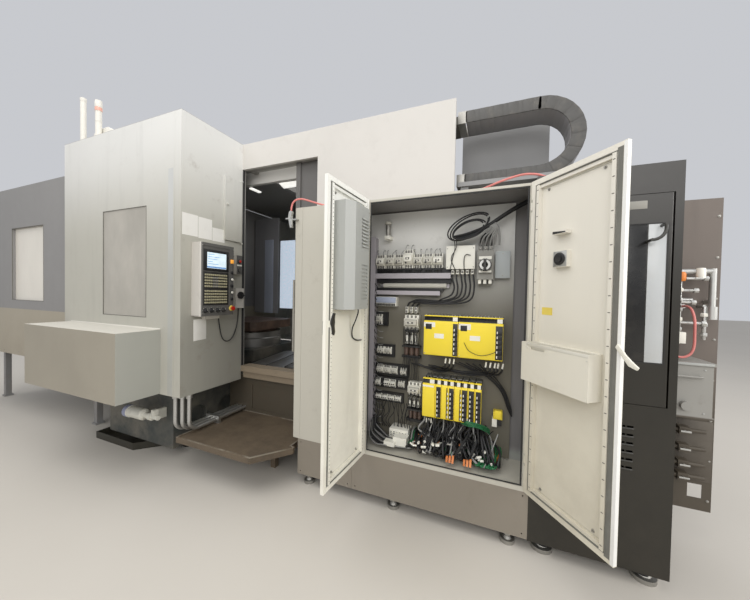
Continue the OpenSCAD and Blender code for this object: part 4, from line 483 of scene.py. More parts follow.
OWN_FINISH = {
    "block_guard": "tall_guard", "apron": "apron_gray", "load_guard": "loading_guard", "main_guard": "main_wall",
    "top_frame": "header_gray", "operator_door": "door_sheet", "cabinet_shell": "cabinet_sheet",
    "mounting_plate": "plate_olive", "cabinet_door_left": "left_leaf", "cabinet_door_right": "right_leaf",
    "heat_exchanger": "light_metal", "door_pocket": "pocket_plastic", "control_panel": "panel_gray",
    "utility_panel": "utility_sheet", "platform": "platform_brown", "oil_filter": "filter_white",
    "access_cover": "tall_guard", "conduits": "alloy", "chain_tray": "dark_guard", "signal_tower": "white_metal",
}


def dress_cad_nodes():
    """Each construction node takes its own finish, or that of the record's material slot."""
    for part in frame["record"]["subparts"]:
        node = NODES[part["node"]]
        node.data.materials.clear()
        node.data.materials.append(MATERIALS[OWN_FINISH.get(part["node"], part["material_slot"])])


dress_cad_nodes()


# Solids in mesh code
METRE = 1000.0


class Shape:
    """Gathers solids in one mesh until it becomes a piece.

    Lengths are in millimetres; at, with its shift in metres, places them all. Each solid gives the shape back."""

    def __init__(self, at=None):
        self.mesh = bmesh.new()
        self.at = at or Matrix.Identity(4)

    def point(self, place):
        return self.mesh.verts.new(self.at @ Vector([v / METRE for v in place]))

    def rings(self, loops, closed=False):
        """Skins a list of point loops, with a cap at each end unless it closes on itself."""
        loops = [[self.point(p) for p in loop] for loop in loops]
        for low, high in list(zip(loops, loops[1:])) + ([(loops[-1], loops[0])] if closed else []):
            for i in range(len(low)):
                j = (i + 1) % len(low)
                self.mesh.faces.new((low[i], low[j], high[j], high[i]))
        if not closed:
            self.mesh.faces.new(list(reversed(loops[0])))
            self.mesh.faces.new(loops[-1])
        return self

    def prism(self, outline, low, high, along="y"):
        """An outline in the other two axes, drawn out along x, y or z."""
        order = {"x": lambda u, v, w: (w, u, v), "y": lambda u, v, w: (u, w, v), "z": lambda u, v, w: (u, v, w)}
        return self.rings([[order[along](u, v, w) for u, v in outline] for w in (low, high)])

    def block(self, x, y, z):
        return self.prism([(x[0], y[0]), (x[1], y[0]), (x[1], y[1]), (x[0], y[1])], z[0], z[1], "z")

    def lathe(self, profile, place, axis="z", sides=24):
        """Turns (radius, distance) pairs round an axis through a place."""
        spin = [(math.cos(a), math.sin(a)) for a in (2.0 * math.pi * i / sides for i in range(sides))]
        turn = {"x": lambda r, d, c, s: (d, r * c, r * s), "y": lambda r, d, c, s: (r * s, d, r * c),
                "z": lambda r, d, c, s: (r * c, r * s, d)}[axis]
        return self.rings([[Vector(place) + Vector(turn(r, d, c, s)) for c, s in spin] for r, d in profile])

    def screws(self, places, axis="y", radius=4, rise=2, tip=2, top=3, sides=10):
        """Low round heads at places, facing along an axis."""
        for place in places:
            self.lathe([(radius, 0), (radius, rise), (tip, top)], place, axis, sides)
        return self

    def rod(self, start, end, radius, sides=12):
        return self.tube([start, end], radius, sides)

    def tube(self, path, radius, sides=8, end_radius=None):
        """A round tube along a path, carried without twist."""
        path = [Vector(p) for p in path]
        ahead = [(path[min(i + 1, len(path) - 1)] - path[max(i - 1, 0)]).normalized() for i in range(len(path))]
        side = ahead[0].orthogonal().normalized()
        loops = []
        for i, (place, way) in enumerate(zip(path, ahead)):
            side = (side - way * side.dot(way)).normalized()
            other = way.cross(side)
            r = radius if end_radius is None else radius + (end_radius - radius) * i / (len(path) - 1)
            loops.append([place + (side * math.cos(a) + other * math.sin(a)) * r
                          for a in (2.0 * math.pi * k / sides for k in range(sides))])
        return self.rings(loops)

    def make(self, name, finish, bevel=0, body="machine", copies=(), smooth=40.0):
        """Closes the shape into a piece that rides a body, unless it is None.

        Copies are up to two pairs of a count and a step."""
        bmesh.ops.recalc_face_normals(self.mesh, faces=self.mesh.faces)
        data = bpy.data.meshes.new(name)
        self.mesh.to_mesh(data)
        self.mesh.free()
        piece = bpy.data.objects.new(name, data)
        bpy.context.scene.collection.objects.link(piece)
        if bevel:
            edge = piece.modifiers.new("edge", "BEVEL")
            edge.width = bevel / METRE
            edge.segments = 2
            edge.limit_method = "ANGLE"
            edge.angle_limit = math.radians(35.0)
        if copies:
            set_out(piece, MATERIALS[finish], self.at, *copies)
        if bevel or copies:
            settle(piece)
        piece.data.materials.clear()
        piece.data.materials.append(MATERIALS[finish])
        for face in piece.data.polygons:
            face.use_smooth = True
            face.material_index = 0
        piece.data.set_sharp_from_angle(angle=math.radians(smooth))
        if body:
            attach(piece, body)
        return piece


def border(u, v, width):
    """The four bars of a frame, from its outer spans: two of full height, then those between them."""
    inner = (u[0] + width, u[1] - width)
    return (((u[0], inner[0]), v), ((inner[1], u[1]), v), (inner, (v[0], v[0] + width)), (inner, (v[1] - width, v[1])))


def stands_for(piece, node):
    """Hides the construction node whose place the piece takes."""
    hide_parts(node)


def settle(piece):
    """Turns a piece's modifiers into plain mesh."""
    bpy.context.view_layer.update()
    graph = bpy.context.evaluated_depsgraph_get()
    data = bpy.data.meshes.new_from_object(piece.evaluated_get(graph))
    piece.modifiers.clear()
    piece.data = data
    data.name = piece.name


def curve_through(points, steps=6):
    """More points on a smooth curve through the given ones."""
    points = [Vector(p) for p in points]
    padded = [points[0] * 2.0 - points[1]] + points + [points[-1] * 2.0 - points[-2]]
    path = []
    for a, b, c, d in zip(padded, padded[1:], padded[2:], padded[3:]):
        for k in range(steps):
            t = k / steps
            path.append(0.5 * ((2.0 * b) + (c - a) * t + (2.0 * a - 5.0 * b + 4.0 * c - d) * t * t
                               + (3.0 * b - a - 3.0 * c + d) * t * t * t))
    return path + [points[-1]]


# Repeats in Geometry Nodes
def pattern_tree():
    """A tree that sets its shape out in rows and columns, ending in real mesh with a material."""
    tree = bpy.data.node_groups.new("rows_and_columns", "GeometryNodeTree")
    for name, kind in (("Shape", "Geometry"), ("Columns", "Int"), ("Column Step", "Vector"), ("Rows", "Int"),
                       ("Row Step", "Vector"), ("Finish", "Material")):
        tree.interface.new_socket(name, in_out="INPUT", socket_type="NodeSocket" + kind)
    tree.interface.new_socket("Shape", in_out="OUTPUT", socket_type="NodeSocketGeometry")
    given = tree.nodes.new("NodeGroupInput")
    result = tree.nodes.new("NodeGroupOutput")
    shape = given.outputs["Shape"]
    for count, step in (("Columns", "Column Step"), ("Rows", "Row Step")):
        line = tree.nodes.new("GeometryNodeMeshLine")
        line.mode = "OFFSET"
        copies = tree.nodes.new("GeometryNodeInstanceOnPoints")
        tree.links.new(given.outputs[count], line.inputs["Count"])
        tree.links.new(given.outputs[step], line.inputs["Offset"])
        tree.links.new(line.outputs["Mesh"], copies.inputs["Points"])
        tree.links.new(shape, copies.inputs["Instance"])
        shape = copies.outputs["Instances"]
    real = tree.nodes.new("GeometryNodeRealizeInstances")
    finish = tree.nodes.new("GeometryNodeSetMaterial")
    tree.links.new(shape, real.inputs["Geometry"])
    tree.links.new(real.outputs["Geometry"], finish.inputs["Geometry"])
    tree.links.new(given.outputs["Finish"], finish.inputs["Material"])
    tree.links.new(finish.outputs["Geometry"], result.inputs["Shape"])
    return tree


ROWS_AND_COLUMNS = pattern_tree()


def set_out(piece, material, at, columns, rows=(1, (0, 0, 0))):
    """Sets a shape out in columns and rows with steps in millimetres, turned as the shape is."""
    layout = piece.modifiers.new("layout", "NODES")
    layout.node_group = ROWS_AND_COLUMNS
    ids = {item.name: item.identifier for item in ROWS_AND_COLUMNS.interface.items_tree
           if item.in_out == "INPUT"}
    turn = at.to_3x3()
    for name, value in (("Columns", columns[0]), ("Column Step", tuple(turn @ Vector(columns[1]) / METRE)),
                        ("Rows", rows[0]), ("Row Step", tuple(turn @ Vector(rows[1]) / METRE)), ("Finish", material)):
        layout[ids[name]] = value


# Cords, on the routes of the construction
HOSE_RADIUS = 7
HOSE_ROUTE = [(3790, -890, 1560), (3790, -930, 1560), (3794, -972, 1540), (3798, -998, 1480), (3798, -1004, 1400),
              (3796, -1006, 1320), (3778, -1008, 1272), (3736, -1014, 1252), (3694, -1020, 1272), (3678, -1026, 1320),
              (3678, -1032, 1450), (3684, -1044, 1750), (3684, -1056, 2050), (3676, -1068, 2230), (3648, -1086, 2326),
              (3600, -1108, 2362), (3540, -1130, 2352), (3400, -1170, 2344), (3200, -1200, 2344), (3050, -1220, 2344),
              (2960, -1250, 2350), (2900, -1270, 2365), (2820, -1270, 2372), (2700, -1260, 2350), (2580, -1240, 2318),
              (2450, -1220, 2310), (2200, -1200, 2310), (1900, -1200, 2310), (1600, -1220, 2310), (1400, -1245, 2314),
              (1280, -1290, 2342), (1210, -1322, 2362), (1160, -1340, 2362), (1124, -1348, 2340), (1106, -1348, 2302),
              (1104, -1348, 2272)]
PENDANT_CORD_RADIUS = 5
PENDANT_ROUTE = [(236, y, z) for y, z in (
    (-1065, 1430), (-1065, 1400), (-1067, 1360), (-1072, 1310), (-1082, 1255), (-1098, 1205), (-1122, 1155),
    (-1154, 1120), (-1190, 1106), (-1226, 1114), (-1254, 1142), (-1272, 1185), (-1284, 1240), (-1293, 1295),
    (-1299, 1335), (-1300, 1358), (-1300, 1375))]


def path_length(path):
    return sum((Vector(b) - Vector(a)).length for a, b in zip(path, path[1:]))


def make_cord(name, route, radius, material, node):
    path = curve_through(route, 5)
    piece = Shape().tube(path, radius, 16).make(name, material, smooth=60.0)
    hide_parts(node)
    path_length(path) / METRE
    [tuple(p / METRE) for p in path]
    return piece


def make_cords():
    make_cord("air_hose_run", HOSE_ROUTE, HOSE_RADIUS, "hose_rubber", "air_hose")
    make_cord("pendant_cord", PENDANT_ROUTE, PENDANT_CORD_RADIUS, "cable_rubber", "panel_cable")
    relief = Shape()
    relief.tube([(236, -1065, 1434), (236, -1065, 1424), (236, -1066, 1396)], 8.5, 16, 5.6)
    relief.tube([(236, -1300, 1380), (236, -1300, 1370), (236, -1299, 1340)], 8.5, 16, 5.6)
    relief.make("pendant_cord_reliefs", "black_plastic", 0.5)


make_cords()


# The electrical cabinet
BOARD = Matrix.Translation((0.0, -0.965, 0.0))
LEFT_DOOR = Matrix.Translation((1.788, -1.331, 0.0)) @ Matrix.Rotation(math.radians(-93.0), 4, "Z")
RIGHT_DOOR = (Matrix.Translation((2.88, -1.331, 0.0)) @ Matrix.Rotation(math.radians(128.0), 4, "Z")
              @ Matrix.Scale(-1.0, 4, (1.0, 0.0, 0.0)))


class Switchboard:
    """The devices on the mounting plate, gathered by finish."""

    def __init__(self):
        for name in ("bodies", "fronts", "darks", "metals", "coils", "yellows", "oranges", "blues"):
            setattr(self, name, Shape(BOARD))

    def terminal_row(self, x0, x1, z, y, count):
        """Screw terminals in a dark strip: each a recess with a slotted screw in it."""
        pitch = (x1 - x0) / count
        for i in range(count):
            x = x0 + pitch * (i + 0.5)
            r = min(6.2, pitch * 0.32)
            self.darks.block((x - r * 1.25, x + r * 1.25), (y - 1.2, y + 2), (z - r * 1.5, z + r * 1.5))
            self.metals.lathe([(r, 0), (r, -1.8), (r * 0.7, -3)], (x, y - 1, z), "y", 10)
            self.darks.block((x - r * 0.75, x + r * 0.75), (y - 4.6, y - 3.8), (z - r * 0.13, z + r * 0.13))

    def device(self, x0, z0, w, h, d, poles=3, front="fronts", window=True):
        """A rail mounted device: stepped body, raised front, terminals above and below."""
        x1 = x0 + w
        mid, step, front_y = -d * 0.55, -d * 0.8, -d
        self.bodies.prism([(0, z0), (mid, z0), (mid, z0 + h * 0.22), (step, z0 + h * 0.25), (step, z0 + h * 0.75),
                           (mid, z0 + h * 0.78), (mid, z0 + h), (0, z0 + h)], x0, x1, "x")
        edge = w * 0.07
        getattr(self, front).prism([(step, z0 + h * 0.27), (front_y, z0 + h * 0.35), (front_y, z0 + h * 0.65),
                                    (step, z0 + h * 0.73)], x0 + edge, x1 - edge, "x")
        for z in (z0 + h * 0.11, z0 + h * 0.89):
            self.terminal_row(x0 + edge, x1 - edge, z, mid, poles)
        if window:
            cx = (x0 + x1) / 2.0
            self.darks.block((cx - w * 0.2, cx + w * 0.2), (front_y - 1, front_y + 4), (z0 + h * 0.44, z0 + h * 0.56))
            self.bodies.block((cx - w * 0.09, cx + w * 0.09), (front_y - 3, front_y), (z0 + h * 0.46, z0 + h * 0.54))

    def breaker(self, x0, z0, w, h, d):
        """A slim circuit breaker with a toggle."""
        poles = max(1, round(w / 18))
        self.device(x0, z0, w, h, d, poles, "bodies", False)
        for i in range(poles):
            x = x0 + w * (i + 0.5) / poles
            self.darks.block((x - 4.5, x + 4.5), (-d - 7, -d + 2), (z0 + h * 0.46, z0 + h * 0.6))

    def reactor(self, xs, z0, z1, radius):
        """Three wound coils on a laminated core."""
        x0 = xs[0] - radius - 12
        x1 = xs[-1] + radius + 12
        for low, high in ((z0 - 20, z0), (z1, z1 + 14)):
            for k in range(5):
                y = -12 - 10.5 * k
                self.darks.block((x0, x1), (y - 8.8, y), (low, high))
        turns = 14
        for x in xs:
            profile = [(radius * 0.4, z0)]
            for k in range(turns):
                z = z0 + (z1 - z0) * (k + 0.15) / turns
                profile += [(radius * 0.93, z), (radius, z + (z1 - z0) * 0.35 / turns),
                            (radius * 0.93, z + (z1 - z0) * 0.7 / turns)]
            self.coils.lathe(profile + [(radius * 0.4, z1)], (x, -36, 0), "z", 20)


def make_switchgear():
    board = Switchboard()
    for i in range(7):
        x = 1742 + i * 80
        board.device(x, 1815, 74, 150 if i == 3 else 112, 95, 3, "fronts" if i % 3 else "bodies")
        board.darks.block((x + 8, x + 66), (-62, -50), (1799, 1813))
        board.darks.block((x + 20, x + 32), (-100, -94), (1850, 1862))
    for px in (2330, 2520):
        for pz in (1810, 1950):
            board.metals.rod((px + 5, 0, pz + 5), (px + 5, -88, pz + 5), 4, 6)
    board.bodies.block((2325, 2535), (-85, -82), (1800, 1975))
    for i in range(10):
        board.darks.block((2333 + i * 19.5, 2349.5 + i * 19.5), (-60, -1), (1815, 1850))
    for i in range(5):
        x = 2364 + i * 36
        board.bodies.block((x, x + 20), (-70, 0), (1762, 1795))
        board.terminal_row(x + 1, x + 19, 1779, -70, 1)
    for pz in (1745, 1905):
        board.metals.rod((2726, 0, pz + 6), (2726, -53, pz + 6), 5, 6)
    board.device(2000, 1316, 116, 118, 110)
    board.device(2042, 785, 104, 104, 110)
    board.darks.block((2004, 2112), (-75, -50), (1300, 1314))
    for i in range(3):
        for x, low, high, depth in ((2006 + i * 38, 1450, 1500, 70), (2010 + i * 38, 1200, 1290, 60),
                                    (2045 + i * 34, 690, 760, 60)):
            board.bodies.block((x, x + 20), (-depth, 0), (low, high))
            board.terminal_row(x + 1, x + 19, low + 12, -depth, 1)
            board.terminal_row(x + 1, x + 19, high - 12, -depth, 1)
    for x, z, w, h, d in ((1745, 1347, 50, 82, 75), (1757, 1095, 62, 60, 70), (1825, 1095, 58, 60, 70),
                          (1967, 930, 48, 60, 70), (1745, 818, 42, 64, 70), (1950, 826, 50, 54, 70)):
        board.device(x, z, w, h, d, 2)
    for i in range(3):
        board.device(1757 + i * 62, 930, 56, 66, 70, 3)
    for x in (1824, 1876):
        board.breaker(x, 818, 48, 64, 70)
    for i in range(4):
        board.breaker(1748 + i * 58, 700, 50, 52, 60)
    board.bodies.block((1745, 1925), (-68, 0), (1500, 1578))
    board.blues.block((1749, 1921), (-75, -68), (1528, 1574))
    for i in range(12):
        x = 1752 + i * 14
        board.darks.block((x, x + 9), (-76.5, -66), (1503, 1521))
        board.metals.rod((x + 4.5, -70, 1512), (x + 4.5, -77.5, 1512), 2.4, 8)
    board.bodies.block((1906, 2063), (-124, 0), (434, 508))
    for i in range(6):
        x = 1914 + i * 24.5
        board.bodies.block((x, x + 20), (-130, -124), (442, 500))
        for z in (456, 470, 484):
            board.darks.block((x + 4, x + 16), (-130.8, -129), (z, z + 6))
    board.yellows.block((2690, 2752), (-70, 0), (700, 752))
    board.yellows.block((2700, 2744), (-85, -70), (712, 768))
    board.bodies.block((2682, 2716), (-66, 0), (640, 698))
    board.darks.block((2718, 2748), (-60, 0), (652, 698))
    # painted shade: dark strips behind the device rows and under the duct lids
    for x0, x1, z0, z1 in ((1738, 1905, 1070, 1172), (1738, 2030, 912, 1012), (1738, 2020, 805, 900),
                           (1738, 1990, 688, 768), (1738, 1840, 1330, 1446)):
        board.darks.block((x0, x1), (-28, 0), (z0, z1))
    for x1, z0, z1 in ((2362, 1774, 1812), (2362, 1692, 1728), (2300, 1632, 1653)):
        board.darks.block((1742, x1), (-40, 0), (z0, z1))
    board.metals.lathe([(20, 2085), (20, 2175)], (1838, -55, 0), "z", 20)
    board.fronts.lathe([(12, 2175), (26, 2182), (27, 2198), (18, 2205), (8, 2205)], (1838, -55, 0), "z", 20)
    board.bodies.block((1815, 1861), (-80, 0), (2055, 2085))
    board.reactor([2012, 2056, 2100], 1105, 1171, 20)
    board.reactor([2058, 2096, 2134], 590, 656, 17.5)
    for x, w in ((2120, 65), (2700, 40)):
        for i in range(3):
            board.oranges.block((x + i * w / 3.0, x + (i + 0.82) * w / 3.0), (-150, -95), (413, 458))
            board.darks.block((x + (i + 0.2) * w / 3.0, x + (i + 0.6) * w / 3.0), (-151, -149), (425, 445))
    stands_for(board.bodies.make("switchgear_bodies", "device_cream", 1.2), "switchgear")
    board.fronts.make("switchgear_fronts", "device_gray", 1.2)
    board.darks.make("switchgear_recesses", "black_plastic")
    board.metals.make("switchgear_screws", "zinc_steel", 0.3)
    board.coils.make("reactor_coils", "coil_brown")
    board.yellows.make("brake_unit", "yellow_plastic", 1)
    board.oranges.make("orange_connectors", "orange_plastic", 1)
    board.blues.make("control_unit_front", "blue_plastic", 0.8)


DRIVE_FRONT = -185
DRIVE_MIDDLE = -92.5


def drive_module(parts, x0, z0, w, h, field):
    """A servo drive: yellow case, dark vented head, heat sink behind, a strip of connectors."""
    x1, z1, front = x0 + w, z0 + h, DRIVE_FRONT
    case, dark, metal, label = parts
    case.prism([(DRIVE_MIDDLE, z0 + 20), (front + 6, z0 + 20), (front, z0 + 30), (front, z1 - 56),
                (front + 10, z1 - 46), (DRIVE_MIDDLE, z1 - 46)], x0 + 0.8, x1 - 0.8, "x")
    metal.block((x0 + 3, x1 - 3), (DRIVE_MIDDLE, 0), (z0 + 4, z1 - 10))
    dark.prism([(-10, z1 - 46), (front + 12, z1 - 46), (front + 26, z1 - 14), (-10, z1 - 14)], x0 + 1.2, x1 - 1.2, "x")
    dark.block((x0 + 4, x1 - 4), (DRIVE_MIDDLE, -10), (z0, z0 + 18))
    for i in range(int(w / 24)):
        x = x0 + 6 + i * 24
        metal.block((x, x + 6), (front + 40, -20), (z1 - 10, z1 - 2))
    case.block((x0 + 0.8, x1 - 0.8), (front + 8, front + 30), (z1 - 13.8, z1 - 6))
    label.block((x1 - min(40, w * 0.62), x1 - 6), (front + 6, front + 20), (z1 - 44, z1 - 15))
    if w > 90:
        label.block((x0 + 1, x0 + min(w * 0.96, 85)), (front - 0.8, front + 1), (z1 - 58 - w * 0.14, z1 - 58))
    if field:
        low = x1 - field
        dark.block((low + 3, x1 - 3), (front - 2, front + 2), (z0 + 28, z1 - 62))
        for i in range(int((h - 110) / 34)):
            z = z0 + 36 + i * 34
            dark.block((low + 7, x1 - 7), (front - 9, front), (z, z + 25))
            label.block((low + 10, low + 16), (front - 9.5, front - 8), (z + 4, z + 21))
    if w > 200:
        dark.block((x0 + 14, x0 + 60), (front - 1.5, front + 2), (z1 - 110, z1 - 70))
        label.block((x0 + 80, x0 + 150), (front - 1, front + 1), (z0 + 150, z0 + 185))
        metal.screws([(x0 + 10, front, z) for z in (z0 + 34, z1 - 64)], rise=-2, top=-3)


def make_drives():
    parts = [Shape(BOARD) for _ in range(4)]
    drive_module(parts, 2187, 1129, 252, 325, 40)
    drive_module(parts, 2441, 1129, 300, 325, 52)
    drive_module(parts, 2187, 658, 94, 320, 0)
    for i, field in enumerate((40, 12, 40, 12, 42, 42, 42)):
        drive_module(parts, 2282 + i * 47, 658, 46, 320, field)
    case, dark, metal, label = parts
    stands_for(case.make("drive_cases", "yellow_plastic", 1.8), "servo_drives")
    dark.make("drive_heads_and_sockets", "black_plastic", 0.6)
    metal.make("drive_heat_sinks", "alloy")
    label.make("drive_blank_plates", "device_cream")
    vent = Shape(BOARD).block((2192, 2196), (-176, -160), (1416.5, 1437.5))
    vent.make("drive_vents", "black_glass", copies=((61, (9, 0, 0)),))


def wire(shape, points, wander, luck, radius, sides=6):
    """Draws a wire on a smooth path, with a small seeded wander between its ends."""
    path = [Vector(p) for p in points]
    for p in path[1:-1]:
        p += Vector([luck.uniform(-1, 1) for _ in range(3)]) * wander
    shape.tube(curve_through(path, 5), luck.choice(radius) if isinstance(radius, tuple) else radius, sides)


def make_trunk(black, gray):
    """The thick bundle from the cabinet's upper corner to its coil, and the coil itself."""
    for k in range(8):
        a = 2.0 * math.pi * k / 7.0
        away = Vector((8 * math.cos(a), -10 * math.sin(a), 13 * math.cos(a))) * (0.0 if k == 7 else 1.0)
        path = [(2896, -87, 2272), (2840, -91, 2244), (2776, -97, 2208), (2725, -103, 2175), (2670, -107, 2138),
                (2600 - k * 4, -107, 2088), (2530 - k * 10, -105, 2040 + k * 2), (2455 - k * 12, -103, 2012 + k * 4)]
        black.tube(curve_through([Vector(p) + away for p in path], 4), 8.2)
    for k, (across, tall, lean, u0, v0) in enumerate(((158, 78, 0.46, 2484, 2108), (146, 70, 0.5, 2490, 2100),
                                                      (122, 62, 0.34, 2492, 2082), (112, 55, 0.38, 2486, 2078))):
        loop = []
        for i in range(35):
            a = math.radians(5.0 + i * 10.2)
            u, v = across * math.cos(a), tall * math.sin(a)
            loop.append((u0 + u * math.cos(lean) - v * math.sin(lean), -117 - 6 * k + 8 * math.sin(2.0 * a + k),
                         v0 + u * math.sin(lean) + v * math.cos(lean)))
        black.tube(loop, 5.2)
    for k in range(5):
        gray.tube(curve_through([(2660 - k * 14, -113, 2135 - k * 6), (2690 - k * 8, -111, 2090),
                                 (2700 - k * 26, -95, 2030), (2700 - k * 32, -65, 1972)], 5), 6.2, 8)


def make_tangle(black, green, gray, orange, white, luck):
    """The heap of cables, plugs and ties on the cabinet's floor."""
    for i in range(120):
        x = luck.uniform(2090, 2700)
        deep = luck.uniform(20, 160)
        aside = luck.uniform(-160, 160)
        rise = luck.uniform(20, 170) * (0.45 if x < 2200 else 1.0)
        path = [(x, -deep * 0.4, 460 + rise), (x + aside * 0.3, -deep - 30, 440 + rise * 0.9),
                (x + aside * 0.7, -deep - 100, 432 + rise * 0.35), (x + aside, -deep - 70, 428),
                (x + aside * 1.2, -deep * 0.5, 424)]
        path = [(min(max(u, 2090), 2740), v, w) for u, v, w in path]
        shape = gray if i % 9 == 4 else green if i % 17 == 7 else black
        wire(shape, path, 12, luck, (3.5, 5, 6.5, 8), 7)
    for i in range(26):
        x, y, z = luck.uniform(2100, 2700), -luck.uniform(140, 270), luck.uniform(440, 520)
        turn = Matrix.Translation((x, y, z)) @ Matrix.Rotation(luck.uniform(0.0, 3.1), 4, "Z")
        turn = turn @ Matrix.Rotation(luck.uniform(-0.6, 0.6), 4, "X")
        w, d, h = luck.uniform(6, 19), luck.uniform(5, 10), luck.uniform(4, 8)
        shape = orange if i % 6 == 2 else white
        shape.rings([[turn @ Vector((u * w, v * d, s * h)) for u, v in ((-1, -1), (1, -1), (1, 1), (-1, 1))]
                     for s in (-1, 1)])
    for i in range(14):
        z = 470 - i * 3
        wire(gray if i % 4 == 1 else black, [(1742, -20 - i * 8, z + 100), (1765, -50 - i * 12, z + 30),
                                             (1830, -80 - i * 12, z - 6), (1900, -100 - i * 12, 428),
                                             (2000, -90 - i * 10, 424), (2110, -80 - i * 10, 424)], 4, luck, 4.8, 7)
    for i in range(9):
        x = 2640 + i * 13
        wire(green, [(x, -30, 480), (x, -110, 468), (x - 20, -200, 446), (x - 50, -262, 430), (x - 90, -180, 426),
                     (x - 100, -30, 430)], 8, luck, 5.2, 7)
    for i in range(5):
        z = 655 + i * 8
        wire(green, [(2471, -150, z + 6), (2520, -190, z + 14), (2590, -190, z + 6), (2645, -150, z - 20),
                     (2668, -100, z - 60)], 5, luck, 4, 7)
    wire(orange, [(2310, -130, 500), (2325, -160, 470), (2345, -180, 430)], 0, luck, 5.5, 8)
    for x in (2386, 2505):
        for k in range(3):
            orange.prism([(-285, 420), (-250, 420), (-262 + 10 * k, 456), (-282 + 10 * k, 452)], x + k * 20,
                         x + k * 20 + 14, "x")
    gray.tube([(2726, -120, 615), (2668, -210, 470), (2640, -262, 425)], 4.5, 8)
    white.block((1968, 2075), (-215, -128), (424, 487))
    white.block((1905, 1990), (-250, -190), (424, 458))
    white.block((2345, 2440), (-176, -140), (492, 500))
    white.block((2515, 2560), (-185, -150), (690, 715))


def make_cabinet_wiring():
    luck = random.Random(11)
    black, green, gray, orange, white = (Shape(BOARD) for _ in range(5))
    make_trunk(black, gray)
    make_tangle(black, green, gray, orange, white, luck)
    for i in range(7):
        for k in range(3):
            x = 1742 + i * 80 + 14 + k * 23
            y = -54
            wire(black, [(x, y, 1822), (x, y - 4, 1808), (x + luck.uniform(-10, 10), y, 1790), (x, -35, 1770)], 2,
                 luck, 2.8)
            if k != 1:
                top = 1955 if i == 3 else 1918
                x2 = x + luck.uniform(-20, 20)
                wire(gray, [(x, y, top), (x, y - 6, top + 20), (x2, y + 10, top + 45), (x2, -5, top + 52)], 3, luck,
                     2.6)
    for x, count in ((2352, 3), (2635, 3), (2716, 2)):
        for i in range(count):
            u = x + i * 30
            white.rod((u, -155, 1128), (u - 5, -148, 1092), 6.2, 8)
            far = 2060 + i * 30 if x < 2400 else 2200 + i * 20
            wire(black, [(u - 5, -148, 1094), (u - 12, -130, 1060), (u - 60, -90, 1036 - i * 8),
                         ((u + far) / 2.0, -60, 1022 - i * 8), (far, -50, 1040)], 3, luck, 6.8, 8)
    for i in range(5):
        wire(black, [(2385 + i * 50, -60, 1090), (2500 + i * 30, -50, 1052), (2640 + i * 12, -45, 998),
                     (2736 + i * 7, -40, 900), (2790 + i * 5, -30, 780), (2815, -20, 720)], 4, luck, 4.5, 7)
    black.tube(curve_through([(2482, -190, 1262), (2520, -196, 1205), (2600, -198, 1180), (2680, -196, 1205),
                              (2700, -190, 1225)], 6), 2.2, 6)
    for x in (2215, 2233, 2251):
        white.rod((x, -150, 654), (x, -146, 622), 5, 8)
    for i in range(34):
        x = 2200 + i * 12
        drop = [(x, -140, 664), (x, -150, 634), (x + luck.uniform(-40, 40), -175, 570),
                (x + luck.uniform(-70, 70), -150, 510), (x + luck.uniform(-70, 70), -80, 460)]
        wire(black if i % 6 else gray, drop, 12, luck, (3.5, 4.5, 6), 7)
    for i in range(6):
        x = 2374 + i * 30
        wire(black, [(x, -60, 1764), (x + 4, -75, 1720), (x + 14, -85, 1660), (x - 4, -90, 1600 - i * 4),
                     (x - 80, -85, 1566 - i * 4), (2270, -80, 1556 - i * 5), (2120 + i * 6, -70, 1562 - i * 6),
                     (2044 + (i % 3) * 38, -60, 1535), (2016 + (i % 3) * 38, -50, 1502)], 4, luck, 6.2, 8)
    for i in range(2):
        wire(black, [(2380 + i * 20, -110, 2030), (2390 + i * 10, -105, 1960), (2376 - i * 12, -94, 1880),
                     (2356 + i * 40, -90, 1792)], 3, luck, 2.8)
    for i in range(2):
        wire(black, [(2505, -92, 1900), (2470, -96, 1905), (2458, -94, 1870), (2460, -90, 1792)], 2, luck, 2.8)
    for i in range(22):
        z = 1690 - i * 56
        wire(gray, [(1742, -20, z), (1752, -35, z - 4), (1777, -50, z - 12), (1802, -30, z - 16)], 4, luck, 2.8)
        wire(black, [(1738, -66, z), (1748, -82, z - 10), (1752, -72, z - 30), (1746, -30, z - 40)], 4, luck, 3.4)
    for x0, count, top, low in ((1995, 12, 1330, 1172), (2045, 9, 795, 665), (2000, 12, 1100, 900)):
        for i in range(count):
            x = x0 + i * 11
            wire(black, [(x, -60, top), (x, -75, top - 22), (x + luck.uniform(-10, 10), -70, (top + low) / 2),
                         (x, -50, low)], 4, luck, 2.6)
    for i in range(16):
        x = 1765 + i * 20
        wire(black, [(x, -50, 705), (x, -60, 680), (x + luck.uniform(-20, 20), -60, 620),
                     (x + luck.uniform(-30, 30), -80, 550), (x, -60, 490)], 8, luck, 3.4)
    for shape, name, material in ((black, "black_wires", "cable_rubber"), (green, "green_wires", "wire_green"),
                                  (gray, "gray_wires", "wire_gray"), (orange, "orange_wire_and_plugs", "wire_orange"),
                                  (white, "loose_plugs", "device_cream")):
        stands_for(shape.make(name, material, smooth=50.0), "cabinet_wiring")


